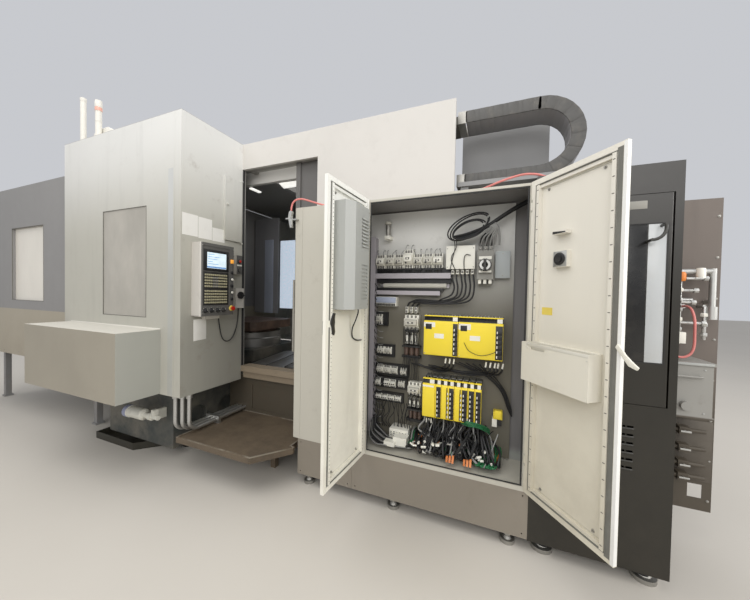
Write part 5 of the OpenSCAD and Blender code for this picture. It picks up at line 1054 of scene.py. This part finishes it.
def make_breaker_details():
    darks, metals, pale = Shape(BOARD), Shape(BOARD), Shape(BOARD)
    for i in range(3):
        for z in (1702, 1947):
            metals.lathe([(8, 0), (8, -4), (5, -7)], (2572 + i * 36, -80, z), "y", 6)
        darks.tube(curve_through([(2572 + i * 36, -45, 1960), (2572 + i * 36, -50, 1990), (2580 + i * 30, -60, 2030),
                                  (2610 + i * 14, -70, 2060)], 4), 9, 8)
    for z in ((1770, 1784), (1864, 1886)):
        pale.block((2566, 2652), (-126.2, -124), z)
    for i in range(3):
        pale.block((2558 + i * 36, 2586 + i * 36), (-98, -60), (1905, 1925))
        pale.block((2562 + i * 36, 2582 + i * 36), (-92, -60), (1690, 1722))
    Shape(BOARD).block((2676, 2776), (-50, -46), (1732, 1929)).make("breaker_side_plate", "blue_gray_plate", 0.8)
    ring = Shape(BOARD).lathe([(37, -160), (37, -162.5), (21, -162.5), (21, -160)], (2609, 0, 1822), "y", 32)
    ring.make("breaker_knob_ring", "alloy", body="breaker_knob")
    darks.make("main_breaker_cables", "cable_rubber", smooth=60.0)
    metals.make("main_breaker_screws", "zinc_steel", 0.5)
    pale.make("main_breaker_blank_strips", "device_cream")


def make_duct_fingers():
    """The slotted walls of the wiring ducts, seen as rows of fingers below their lids, and the terminal rail."""
    for name, x, y, z, count, step in (
            ("tall_duct_fingers", (1733.5, 1735.5), (-68, -6), (436, 444.5), 129, (0, 0, 12.7)),
            ("upper_duct_fingers", (1742, 1750.5), (-58, -6), (1770.5, 1772.5), 48, (12.7, 0, 0)),
            ("middle_duct_fingers", (1742, 1750.5), (-58, -6), (1628.5, 1630.5), 42, (12.7, 0, 0))):
        Shape(BOARD).block(x, y, z).make(name, "duct_gray", copies=((count, step),))
    rail = Shape(BOARD)
    rail.prism([(-1, 1656), (-24, 1656), (-24, 1662), (-6, 1662), (-6, 1684), (-24, 1684), (-24, 1690), (-1, 1690)],
               1776, 2344, "x")
    rail.make("terminal_rail", "zinc_steel")
    block = Shape(BOARD)
    block.prism([(-12, 1654), (-36, 1654), (-44, 1664), (-44, 1684), (-36, 1694), (-12, 1694)], 1800, 1807.4, "x")
    block.make("terminal_blocks", "device_gray", 0.6, copies=((64, (8.2, 0, 0)),))


def make_cabinet_rim():
    """The dark seal round the cabinet's door opening."""
    seal = Shape()
    for x, z in border((1803.5, 2864.5), (414.5, 2279.5), 9):
        seal.block(x, (-1319.5, -1316.5), z)
    seal.make("cabinet_opening_seal", "seal_rubber", 1)


# The cabinet doors
LEAF = (4, 544)
LEAF_LOW = 397
LEAF_HIGH = 2295
SKIN = -9
RIM = 11


def make_door_insides(frame_at, body, name, hole_half, pitch, count):
    """Flange rails with two rows of holes, a seal round the leaf and fixing studs, on one leaf."""
    seal = Shape(frame_at)
    for x in ((LEAF[0] + 34, LEAF[0] + 41), (LEAF[1] - 41, LEAF[1] - 34)):
        seal.block(x, (SKIN, RIM + 2), (LEAF_LOW + 36, LEAF_HIGH - 36))
    for z in (LEAF_LOW + 32, LEAF_HIGH - 37):
        seal.block((LEAF[0] + 41, LEAF[1] - 41), (SKIN, RIM + 2), (z, z + 5))
    seal.make(name + "_seal", "gasket_gray", 1.2, body)
    for side, x in (("hinge", LEAF[0] + 53), ("edge", LEAF[1] - 53)):
        hole = Shape(frame_at)
        r = 2.2
        loop = []
        for way in (1, -1):
            for k in range(7):
                a = math.pi * (k / 6.0 - 0.5 + way * 0.5)
                loop.append((x + way * (hole_half - r) + r * math.sin(a), LEAF_LOW + 60 + r * math.cos(a)))
        hole.prism(loop, RIM + 5.8, RIM + 6.4)
        hole.make("%s_%s_rail_holes" % (name, side), "seam_dark", body=body, copies=((count, (0, 0, pitch)),))
    stud = Shape(frame_at)
    stud.lathe([(9, 0), (9, 1.5), (3.5, 1.5), (3.5, 10)], (LEAF[0] + 110, SKIN, LEAF_LOW + 80), "y", 10)
    stud.make(name + "_studs", "zinc_steel", body=body, copies=((2, (320, 0, 0)), (2, (0, 0, 1740))))
    fold = Shape(frame_at)
    for z in (LEAF_LOW + 64, LEAF_HIGH - 65.5):
        fold.block((LEAF[0] + 74.5, LEAF[1] - 74.5), (SKIN, SKIN + 1.2), (z, z + 1.5))
    fold.make(name + "_folds", "cream_sheet", 0.4, body)


def make_left_door():
    make_door_insides(LEFT_DOOR, "left_cabinet_door", "left_door", 3.4, 25, 72)
    louvre = Shape(LEFT_DOOR).prism([(116.5, 1900), (119.5, 1903), (116.5, 1912)], 210, 300, "x")
    louvre.make("heat_exchanger_louvres", "light_metal", 0.6, "left_cabinet_door", copies=((9, (0, 0, 22)),))
    seam = Shape(LEFT_DOOR)
    seam.block((153, 449), (10, 77.5), (1497.5, 1500))
    seam.screws([(x, 109.5, z) for z in (1530, 2140) for x in (200, 300)])
    seam.make("heat_exchanger_screws", "zinc_steel", body="left_cabinet_door")
    lead = Shape(LEFT_DOOR)
    lead.tube(curve_through([(240, 60, 1500), (240, 60, 1470), (235, 40, 1420), (225, 10, 1360), (200, -2, 1300),
                             (140, -3, 1270), (75, -3, 1262), (60, -3, 1262)], 5), 4.5, 8)
    lead.make("heat_exchanger_lead", "cable_rubber", body="left_cabinet_door", smooth=60.0)


def make_right_door():
    make_door_insides(RIGHT_DOOR, "right_cabinet_door", "right_door", 6, 77, 24)
    gasket = Shape(RIGHT_DOOR)
    gasket.block((LEAF[1] - 42.5, LEAF[1] - 16.5), (RIM, RIM + 0.4), (LEAF_LOW + 20, LEAF_HIGH - 20))
    gasket.make("right_door_edge_gasket", "gasket_gray", body="right_cabinet_door")
    strip = Shape(RIGHT_DOOR)
    strip.prism([(LEAF[1] - 15, RIM), (LEAF[1] - 15, RIM + 0.4), (LEAF[1] + 0.4, RIM + 0.4), (LEAF[1] + 0.4, SKIN),
                 (LEAF[1], SKIN), (LEAF[1], RIM)], LEAF_LOW + 4, LEAF_HIGH - 4, "z")
    strip.make("right_door_edge_strip", "bright_edge", body="right_cabinet_door")
    plate = Shape(RIGHT_DOOR)
    plate.block((182, 262), (17.2, 18.5), (1768, 1848))
    for x, z in border((180.8, 263.2), (1766.8, 1849.2), 1.2):
        plate.block(x, (SKIN + 0.4, 18.5), z)
    plate.make("rotary_switch_plate", "alloy", 0.6, "right_cabinet_door")
    ring = Shape(RIGHT_DOOR).lathe([(30, 17), (34, 20), (34, 23), (29, 25.5), (21, 25.5)], (222, 0, 1808), "y", 28)
    ring.make("rotary_switch_ring", "black_plastic", body="door_hub")
    clip = Shape(RIGHT_DOOR).prism([(182, 1944), (262, 1944), (262, 1950), (190, 1958), (182, 1958)], 7, 30, "y")
    clip.make("door_clip", "black_plastic", 1, "right_cabinet_door")
    patch = Shape(RIGHT_DOOR).block((88, 160), (SKIN, SKIN + 0.8), (1498, 1541))
    patch.make("blank_yellow_patch", "faded_yellow", body="right_cabinet_door")
    lip = Shape(RIGHT_DOOR)
    lip.block((70, 452), (78.5, 80), (1318, 1334.5))
    lip.screws([(x, 79, 1305) for x in (78, 444)], radius=4.5, rise=1.6, top=2.6)
    lip.make("pocket_lip", "white_plastic", 0.6, "right_cabinet_door")
    foam = Shape(RIGHT_DOOR)
    path = [(530, 16, 1392), (548, 20, 1374), (575, 30, 1350), (602, 36, 1326), (630, 34, 1310)]
    wide = (8, 10, 8.5, 11, 6)
    foam.rings([[Vector(p) + Vector((s * w * 0.55, t * 5, s * w)) for s, t in ((-1, -1), (1, -1), (1, 1), (-1, 1))]
                for p, w in zip(path, wide)])
    foam.make("torn_foam_strip", "pale_foam", 2, "right_cabinet_door")


# The control station
PANEL = Matrix.Translation((0.335, -1.57, 1.375))


def make_control_panel():
    """What stands on the panel's face, in a frame at its lower left corner."""
    bezel = Shape(PANEL)
    for y, z in border((40, 282), (405, 585), 20):
        bezel.block((-2, 7), y, z)
    for z in ((96, 392), (400, 590)):
        bezel.block((-1, 1), (30, 292), z)
    stands_for(bezel.make("screen_bezel", "black_plastic", 1.2), "panel_face")
    Shape(PANEL).block((0, 3.5), (60, 262), (425, 565)).make("screen", "screen_glow")
    line = Shape(PANEL)
    for k, length in enumerate((80, 130, 104, 60, 118)):
        line.block((3.4, 3.7), (70, 60 + length), (545 - k * 21, 549 - k * 21))
    line.block((3.4, 3.7), (63, 259), (429, 441)).make("screen_bars", "screen_blue")
    for name, finish, y, z, rise, columns, rows in (("letter_keys", "key_plastic", 40, 256, 6, 12, 5),
                                                    ("machine_keys", "key_plastic", 40, 112, 6, 12, 5),
                                                    ("dark_keys", "gray_plastic", 119.5, 256, 6.5, 3, 4)):
        key = Shape(PANEL).prism([(y, z), (y + 15.5, z), (y + 15.5, z + 15.5), (y, z + 15.5)], 0, rise, "x")
        key.make(name, finish, 1.5, copies=((columns, (0, 19.8, 0)), (rows, (0, 0, 25.5))))
    knobs, caps, marks = Shape(PANEL), Shape(PANEL), Shape(PANEL)
    for i in range(4):
        y, z = 45 + i * 62, 50
        knobs.lathe([(21, 4), (21, 9), (15, 11), (14.5, 26), (12, 28)], (0, y, z), "x")
        knobs.block((20, 30.5), (y - 3.5, y + 3.5), (z - 15, z + 15))
        marks.block((30.2, 31), (y - 1, y + 1), (z + 3, z + 14))
        for k in range(7):
            a = math.radians(-130.0 + k * 43.3)
            marks.lathe([(1.2, 4.8), (1.2, 6.4)], (0, y + 26 * math.sin(a), z + 26 * math.cos(a)), "x", 8)
    for i in range(5):
        place = (0, 326, 150 + i * 62)
        knobs.lathe([(15.5, 5), (15.5, 9), (12.5, 10)], place, "x")
        (caps if i % 2 else knobs).lathe([(11.5, 5), (11.5, 15), (9, 17)], place, "x")
    knobs.make("selector_knobs", "black_plastic", 0.4)
    caps.make("button_caps", "device_cream", 0.4)
    marks.make("knob_marks", "device_cream")
    amber = Shape(PANEL).prism([(308, 487), (340, 487), (340, 523), (308, 523)], 4.5, 16, "x")
    amber.make("amber_lamp", "amber_glow", 3)
    collar = Shape(PANEL).lathe([(26, 4.5), (26, 9), (22, 12.5)], (0, 322, 62), "x", 28)
    collar.make("stop_button_collar", "faded_yellow", 0.5)
    seam = Shape(PANEL).block((-118.5, -10.5), (-0.5, 0.5), (5, 7))
    seam.screws([(4.5, y, z) for z in (25, 620) for y in (16, 342)], "x", 4.5)
    seam.make("control_panel_screws", "zinc_steel")


def make_side_station():
    face = 270
    dark, pale, red = Shape(), Shape(), Shape()
    for z in (1810, 1900):
        dark.lathe([(21, face - 0.5), (21, face + 3), (17, face + 5)], (0, -1088, z), "x")
    pale.block((face, face + 1.2), (-1118, -1058), (1853, 1868))
    red.lathe([(14.5, face + 4), (14.5, face + 14.5), (12, face + 16.5)], (0, -1088, 1900), "x")
    dark.make("side_station_rings", "black_plastic", 0.4)
    pale.make("side_station_blank_plate", "device_cream")
    red.make("side_station_cap", "red_plastic", 0.4)


# The tall guard
def make_papers():
    """Blank sheets, a blank plate and a plain round sticker on the tall guard's right face."""
    sheet = Shape()
    x = 215.2
    sheets = (((-1650, -1505), (2075, 2262)), ((-1500, -1362), (2070, 2258)), ((-1357, -1222), (2068, 2192)))
    for y, z in sheets:
        sheet.rings([[(x, y[0], z[0]), (x, y[1], z[0]), (x, y[1], z[1]), (x, y[0], z[1])],
                     [(x + 0.8, y[0], z[0]), (x + 1.4, y[1], z[0] + 2), (x + 0.8, y[1], z[1]), (x + 0.8, y[0], z[1])]])
    sheet.make("blank_papers", "paper")
    plate = Shape().prism([(-1540, 1150), (-1415, 1155), (-1416, 1345), (-1541, 1340)], x, x + 1.6, "x")
    plate.make("blank_white_plate", "paper", 0.5)
    Shape().lathe([(40, x), (40, x + 0.7)], (0, -1140, 1700), "x", 8).make("blank_round_sticker", "paper")


def bolt_row(name, place, axis, count, step, radius=6, rows=(1, (0, 0, 0)), rise=1.0):
    """Round headed bolts in a row; a low rise gives flush ones."""
    bolt, r = Shape(), radius
    up = rise * (1 if axis[0] == "+" else -1)
    bolt.lathe([(r * 1.35, 0)] + [(r * wide, r * high * up) for wide, high in
                                  ((1.35, 0.18), (1, 0.25), (0.92, 0.75), (0.5, 0.95))], place, axis[1], 12)
    bolt.make(name, "zinc_steel", copies=((count, step), rows))


def make_guard_bolts():
    """Flush bolts in a grid on the rear guard."""
    bolt_row("rear_guard_bolts", (-1540, 1999.5, 740), "+y", 7, (283, 0, 0), rows=(7, (0, 0, 385)), rise=0.15)


def make_window_seals():
    """Thin dark lines of rubber round the tall guard's and the loading guard's windows."""
    for name, x, z, y in (("block_window_seal", (-900, -240), (1350, 2350), -1660),
                          ("load_window_seal", (-2980, -2210), (1440, 2330), -1600)):
        seal = Shape()
        for bx, bz in border((x[0] - 2.5, x[1] + 2.5), (z[0] - 2.5, z[1] + 2.5), 5):
            seal.block(bx, (y - 2, y + 4), bz)
        seal.make(name, "gasket_gray", 1)


def make_block_trim():
    """The faint bluish band down the tall guard's front and the folded edge over the apron."""
    # the band lightens towards the top in painted light, as the tall guard does
    Shape().block((55, 118), (-1660.6, -1660), (686, 2640)).make("front_band", "faint_blue")
    fold = Shape()
    fold.prism([(-1660.2, 1251.2), (-1690, 1251.2), (-1690, 1253), (-1663, 1254.5), (-1660.2, 1260)], -1478, -40, "x")
    fold.make("apron_top_fold", "apron_gray", 0.6)


def make_header():
    """The rail over the operator opening and the seal at its edge."""
    rail = Shape()
    rail.prism([(-975, 2868), (-955, 2868), (-955, 2905), (-905, 2905), (-905, 2868), (-885, 2868), (-885, 2912),
                (-975, 2912)], 220, 2290, "x")
    rail.make("door_top_rail", "ground_steel")
    Shape().block((214.5, 219.5), (-1000, -976), (822, 2858)).make("opening_edge_seal", "seal_rubber", 1)


# The cable chain, in three runs: the low run, the bend and the high run
CHAIN_PITCH = 51.5
CHAIN_START = 2435
CHAIN_LOW = 2526
CHAIN_BEND = (2950, 2776)
CHAIN_BEND_RADIUS = 250
CHAIN_FRONT = -880
CHAIN_BACK = -650
CHAIN_LINKS = 10
BEND_LINKS = 16


def chain_link(plates, covers, at, pitch, odd):
    """One closed link: flush side plates that lap the next ones, and a lid above and below."""
    h = 46.5
    inset = 1.2 * odd
    outline = [(-10, -h * 0.8), (-4, -h), (pitch + 4, -h), (pitch + 10, -h * 0.8), (pitch + 10, h * 0.8),
               (pitch + 4, h), (-4, h), (-10, h * 0.8)]
    for low, high in ((CHAIN_FRONT + inset, CHAIN_FRONT + inset + 8), (CHAIN_BACK - inset - 8, CHAIN_BACK - inset)):
        plates.rings([[at @ Vector((u, y, v)) for u, v in outline] for y in (low, high)])
    for v in (-47 + inset * 0.5, 43 - inset * 0.5):
        covers.rings([[at @ Vector((u, y, w)) for u, w in ((-5, v), (pitch + 5, v), (pitch + 5, v + 4), (-5, v + 4))]
                      for y in (-871, -659)])


def chain_run(name, places, body=None):
    plates, covers = Shape(), Shape()
    for k, (at, pitch) in enumerate(places):
        chain_link(plates, covers, at, pitch, k % 2)
    # the lids are lighter than the plates as painted light on their shaded faces
    return (plates.make(name + "_plates", "chain_black", 1.2, body),
            covers.make(name + "_lids", "chain_inside", 0.6, body))


def make_cable_chain():
    straight = [Matrix.Translation((CHAIN_START + i * CHAIN_PITCH, 0, 0)) for i in range(CHAIN_LINKS)]
    up = 2.0 * CHAIN_BEND_RADIUS
    low = chain_run("chain_low_run", [(Matrix.Translation((0, 0, CHAIN_LOW)) @ at, CHAIN_PITCH) for at in straight],
                    "machine")
    high = chain_run("chain_high_run", [(Matrix.Translation((0, 0, CHAIN_LOW + up)) @ at, CHAIN_PITCH)
                                        for at in straight])
    step = math.pi / BEND_LINKS
    chord = 2.0 * CHAIN_BEND_RADIUS * math.sin(step / 2.0)
    bend = []
    for i in range(BEND_LINKS):
        a = -math.pi / 2.0 + i * step
        place = (CHAIN_BEND[0] + CHAIN_BEND_RADIUS * math.cos(a), 0, CHAIN_BEND[1] + CHAIN_BEND_RADIUS * math.sin(a))
        bend.append((Matrix.Translation(place) @ Matrix.Rotation(-(a + math.pi / 2.0 + step / 2.0), 4, "Y"), chord))
    roll = chain_run("chain_bend", bend)
    ends = Shape()
    for z in (CHAIN_LOW, CHAIN_LOW + up):
        for y in ((-880, -872), (-658, -650)):
            ends.block((2366, 2436), y, (z - 48, z + 48))
        ends.block((2366, 2424), (-872, -658), (z - 48, z - 41))
    ends.make("chain_low_bracket", "zinc_steel", 1)
    for piece in low:
        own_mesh(piece)
    for piece in high:
        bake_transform(piece)
    for piece in roll:
        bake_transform(piece)
    for piece in low + high + roll:
        stands_for(piece, "cable_chain")


def make_way_covers():
    """Five steel roofs that nest, with a wiper lip at each front edge; on the machine they close as the column comes
    forward, but here they do not move.
    """
    roofs, lips = Shape(), Shape()
    x0, x1, count = -60, 1290, 5
    length = (x1 - x0) / count
    for i in range(count):
        h = 30 + i * 14
        low, high = x0 + i * length, x0 + (i + 1) * length - 1.5
        outer = [(-630, 600.3), (-630, 700 + h), (0, 745 + h), (630, 700 + h), (630, 600.3)]
        inner = [(626, 600.3), (626, 697 + h), (0, 741 + h), (-626, 697 + h), (-626, 600.3)]
        roofs.prism(outer + inner, low, high, "x")
        top = [(-630.5, 690 + h), (-630.5, 701.2 + h), (0, 746.2 + h), (630.5, 701.2 + h), (630.5, 690 + h)]
        bottom = [(y * 0.998, z - 3) for y, z in reversed(top)]
        lips.prism(top + bottom, low, low + 14, "x")
    pieces = (roofs.make("way_cover_roofs", "ground_steel", 0.8), lips.make("way_cover_wipers", "seal_rubber"))
    for piece in pieces:
        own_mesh(piece)
    stands_for(pieces[0], "way_covers")


# The magazine unit
def make_magazine():
    # the pale strip on the magazine window is a painted reflection
    for name, finish, x, y, z in (
            ("magazine_window", "black_glass", (3155, 3446), (-1314.5, -1312.5), (1253.5, 2007.5)),
            ("magazine_window_strip", "window_sky", (3450, 3528.5), (-1315, -1312.8), (1254, 2007))):
        Shape().block(x, y, z).make(name, finish, 0.6, "magazine_door")
    seal = Shape()
    for x, z in border((3148, 3536), (1248, 2013), 4):
        seal.block(x, (-1317.4, -1316.6), z)
    seal.make("magazine_window_seal", "seal_rubber", 0.8, "magazine_door")
    badge = Shape().block((3353, 3440), (-1318.2, -1316.8), (2092, 2136))
    badge.make("magazine_blank_badge", "gray_plastic", 0.4, "magazine_door")
    slats = Shape().prism([(-1317.2, 641), (-1321.2, 644), (-1317.2, 652)], 3349, 3417, "x")
    slats.make("magazine_louvres", "black_guard", 0.6, copies=((6, (0, 0, 46)),))
    feet = Shape()
    for x in (3000, 3508):
        feet.lathe([(36, 30), (36, 70), (22, 79)], (x, -1227, 0), "z", 20)
    feet.make("magazine_foot_collars", "black_plastic", 1)


def make_utility_details():
    cap = Shape()
    cap.lathe([(30.5, 1860.5), (31.5, 1866), (31.5, 1905), (28.5, 1921.5), (16, 1923.5)], (3694, -870, 0))
    for k in range(12):
        a = 2.0 * math.pi * k / 12
        x, y = 3694 + 31.2 * math.cos(a), -870 + 31.2 * math.sin(a)
        cap.rod((x, y, 1868), (x, y, 1902), 2.2, 6)
    cap.make("regulator_knob", "orange_plastic")
    gauge = Shape().lathe([(20, -904), (24, -908), (24, -920), (21, -922)], (3694, 0, 1780), "y")
    gauge.make("pressure_gauge", "black_plastic")
    Shape().lathe([(19.5, -921.8), (19.5, -922.8)], (3694, 0, 1780), "y").make("gauge_dial", "paper")
    Shape().block((3806, 3998), (-803.5, -799.5), (420, 815)).make("lower_brown_panel", "brown_sheet", 1.2)
    bolt_row("utility_panel_bolts", (3612, -800.2, 300), "-y", 2, (374, 0, 0), rows=(8, (0, 0, 262)))
    handles = Shape()
    fittings, seals, knob = Shape(), Shape(), Shape()
    for x, y, low, high in ((3772, -885, 1320, 1715), (3902, -868, 1350, 1560)):
        fittings.rod((x, y, low), (x, y, high), 10.5, 12)
        for k in range(int((high - low) / 62)):
            z = low + 20 + k * 62
            (seals if k % 3 == 2 else fittings).lathe([(13, z), (18.5, z + 4), (18.5, z + 22), (13, z + 26)],
                                                      (x, y, 0), "z", 6)
    for z, x0, x1 in ((1585, 3735, 3850), (1735, 3800, 3905), (1455, 3772, 3902), (1660, 3772, 3860)):
        fittings.rod((x0, -885, z), (x1, -885, z), 9.5, 10)
        fittings.lathe([(16, x1 - 22), (16, x1)], (0, -885, z), "x", 6)
        fittings.block((x0 + 35, x0 + 75), (-912, -906), (z - 4, z + 4))
    fittings.rod((3902, -868, 1560), (3902, -802.5, 1560), 10.5, 10)
    fittings.rod((3772, -885, 1400), (3772, -802.5, 1400), 10.5, 10)
    knob.lathe([(10, 1715), (22, 1720), (25, 1735), (25, 1765), (19, 1776), (8, 1778)], (3775, -885, 0), "z", 20)
    seals.block((3744, 3800), (-912, -858), (1325, 1395))
    seals.lathe([(20, 1735), (23, 1745), (23, 1790), (20, 1800)], (3870, -885, 0), "z", 16)
    fittings.make("air_pipe_fittings", "alloy", 0.6)
    seals.make("air_pipe_collars", "device_cream", 0.6)
    knob.make("air_pipe_knob", "orange_plastic", 0.6)
    for z in (766, 653, 551, 470):
        for x in (3704, 3824):
            handles.lathe([(6, -886), (6, -898), (4.5, -899)], (x, 0, z), "y", 12)
            handles.block((x - 26, x + 26), (-903.5, -898.5), (z - 5.5, z + 5.5))
    handles.make("valve_levers", "alloy", 1)
    lid = Shape()
    lid.block((3606, 3866), (-1059.5, -1057.8), (1216.5, 1230.5))
    lid.screws([(x, -1050, z) for x in (3640, 3830) for z in (1190, 935)], radius=5, rise=-2, tip=2.5, top=-3)
    lid.make("lubricator_trim", "light_metal", 0.4)
    Shape().block((3630, 3648), (-1053.5, -1049.8), (950, 1080)).make("lubricator_sight_glass", "amber_oil", 1)


def make_inside():
    """The bluish inner panel and the dark folds that show through the operator opening; the panel glows and the folds,
    the slate panel and the header beam are lightened, all as painted light in the shaded interior.
    """
    # painted light: the inner panel glows, standing in for daylight behind it
    panel = Shape().prism([(-952, 1311), (-600, 1311), (-600, 2520), (-952, 2520)], 1000, 1012)
    panel.make("inner_bright_panel", "inner_blue", 4)
    # the slate panel is lightened as painted light
    slate = Shape().prism([(-1300, 1215), (-1105, 1215), (-1105, 2550), (-1300, 2550)], 992, 999)
    slate.make("inner_slate_panel", "inner_slate", 2)
    folds = Shape()
    for i in range(9):
        x = -590 + i * 98
        folds.prism([(x, 1000), (x + 82, 1000), (x + 82, 1018), (x + 98, 1018), (x + 98, 1030), (x, 1030)], 1215,
                    2940, "z")
    folds.prism([(-1540, 1000), (-994, 1000), (-994, 1020), (-1540, 1020)], 1215, 2940, "z")
    # the folds are lightened as painted light
    folds.make("inner_dark_folds", "inner_dark", 2)
    # the header beam is lightened as painted light
    beam = Shape().prism([(-835, 2765), (-835, 2895), (-825, 2906), (-790, 2906), (-790, 2765)], 20, 2290, "x")
    beam.make("header_beam", "beam_pale", 2)
    work_light = Shape()
    work_light.block((85, 125), (-785, -640), (2748, 2762))
    work_light.prism([(500, -785), (760, -785), (752, -640), (447, -640)], 2760, 2764, "z")
    work_light.make("work_light", "lamp_white", 1)


# The roof, the back and the loading end
def make_signal_details():
    rings = Shape()
    for z in (3420.5, 3530):
        rings.lathe([(32, z - 1.5), (32, z + 1.5)], (-1390, -1465, 0), "z", 28)
    rings.lathe([(32.5, 3573), (33.5, 3576), (33.5, 3620), (31, 3633), (25, 3643), (15, 3650), (4, 3652.5)],
                (-1390, -1465, 0), "z", 28)
    rings.make("tower_dome_and_rings", "white_metal")
    lens = Shape().lathe([(32.2, 3534), (33, 3536), (33, 3568), (32.2, 3571)], (-1390, -1465, 0), "z", 28)
    lens.make("tower_lens", "tower_red")
    cap = Shape().lathe([(26.5, 3640), (29, 3645), (29, 3676.5), (20, 3677)], (-1562, -1520, 0))
    cap.make("vent_cap", "white_metal")
    hood, slit = Shape(), Shape()
    hood.prism([(-1500, 3247), (-1190, 3247), (-1190, 3318), (-1290, 3368), (-1500, 3368)], -1430, -1285, "y")
    for z in (3300, 3342):
        slit.prism([(-1497.5, z - 5), (-1430, z - 5), (-1430, z + 5), (-1497.5, z + 5)], -1431.5, -1429, "y")
    hood.make("tower_box_hood", "white_metal", 3)
    slit.make("tower_box_slits", "black_plastic")
    trim = Shape().screws([(x, -1500, z) for x in (-1488, -1196) for z in (3135, 3230)], "y", 6, -2, 3, -3)
    trim.make("tower_box_screws", "zinc_steel")


def make_back():
    """Seams and grips on the rear guard, the loading end's trim and bolts, and the lifting eyes."""
    seams = Shape()
    for x in (-1000, -400):
        seams.block((x - 1.5, x + 1.5), (1999.6, 2000.3), (682, 3112))
    for z in (1500, 2300):
        seams.block((-1570, 185), (1999.6, 2000.3), (z - 1.5, z + 1.5))
    seams.make("rear_guard_seams", "seam_dark")
    grip = Shape()
    for x in (-900, -300):
        grip.block((x - 12, x + 12), (1999, 2000.4), (1700, 1860))
        grip.block((x - 20, x + 20), (1999, 2000.2), (1685, 1875))
    grip.make("rear_recessed_grips", "black_plastic")
    end = Shape()
    for y in (-690, 290):
        end.block((-4004.2, -4003), (y - 2, y + 2), (905, 2575))
    end.make("loading_end_seals", "seal_rubber")
    bolt_row("loading_end_bolts", (-4003.3, -1540, 800), "-x", 9, (0, 385, 0), rows=(2, (0, 0, 1960)), rise=0.15)
    bolt_row("loading_front_bolts", (-3960, -1600.2, 790), "-y", 7, (380, 0, 0), radius=5)
    roof = Shape()
    for x in (-3200, -2400):
        roof.block((x - 1.5, x + 1.5), (-1565, 1565), (2829.5, 2831.2))
    roof.make("loading_roof_seams", "seam_dark")
    eyes = Shape()
    for x, y in ((-1480, -900), (100, -900), (-1480, 1880), (100, 1880)):
        eyes.lathe([(24, 3117), (24, 3123), (13, 3127), (13, 3133)], (x, y, 0), "z", 16)
        rings = []
        for i in range(20):
            away = Vector((math.cos(math.pi * i / 10.0), 0, math.sin(math.pi * i / 10.0)))
            rings.append([Vector((x, y, 3157)) + away * (26 + 7 * math.cos(a)) + Vector((0, 7 * math.sin(a), 0))
                          for a in (math.pi * k / 4.0 for k in range(8))])
        eyes.rings(rings, closed=True)
    eyes.make("lifting_eyes", "zinc_steel", smooth=60.0)


# Putting it all on the machine
def build_machine():
    make_switchgear()
    make_drives()
    make_cabinet_wiring()
    make_breaker_details()
    make_duct_fingers()
    make_cabinet_rim()
    make_left_door()
    make_right_door()
    make_control_panel()
    make_side_station()
    make_papers()
    make_guard_bolts()
    make_window_seals()
    make_block_trim()
    make_header()
    make_cable_chain()
    make_way_covers()
    make_magazine()
    make_utility_details()
    make_inside()
    make_signal_details()
    make_back()


build_machine()


# The floor and the light
def make_stage():
    bpy.ops.mesh.primitive_plane_add(size=60.0, location=(0.0, 0.0, 0.0))
    floor = bpy.context.object
    floor.name = "floor"
    finish = Finish("floor_concrete")
    cloud = finish.noise(0.5, 5.0, 0.6)
    floor.data.materials.append(finish.wear(finish.mix(cloud, (0.50, 0.47, 0.42), (0.56, 0.53, 0.48)), 0.75))


def make_area_light(name, place, aim, size, power, colour=(1.0, 0.98, 0.95)):
    data = bpy.data.lights.new(name, "AREA")
    data.shape = "RECTANGLE"
    data.size = size[0]
    data.size_y = size[1]
    data.energy = power
    data.color = colour
    lamp_object = bpy.data.objects.new(name, data)
    bpy.context.scene.collection.objects.link(lamp_object)
    lamp_object.location = place
    lamp_object.rotation_euler = (Vector(aim) - Vector(place)).to_track_quat("-Z", "Y").to_euler()


def make_light():
    world = bpy.data.worlds.new("world")
    bpy.context.scene.world = world
    world.use_nodes = True
    sky = world.node_tree.nodes["Background"]
    sky.inputs["Color"].default_value = (0.93, 0.95, 1.0, 1.0)
    sky.inputs["Strength"].default_value = 0.62
    make_area_light("top_light", (-1.0, -2.5, 7.0), (0.0, 0.0, 1.0), (10.0, 5.0), 330.0)
    make_area_light("front_light", (3.0, -8.0, 4.5), (1.0, 0.0, 1.2), (7.0, 3.0), 220.0)
    make_area_light("right_light", (9.5, -3.0, 4.0), (1.0, -1.0, 1.2), (5.0, 4.0), 330.0)
    make_area_light("back_light", (-2.0, 8.0, 6.0), (0.0, 0.0, 1.0), (8.0, 4.0), 200.0)


make_stage()
make_light()
bpy.context.scene.view_settings.view_transform = "Standard"
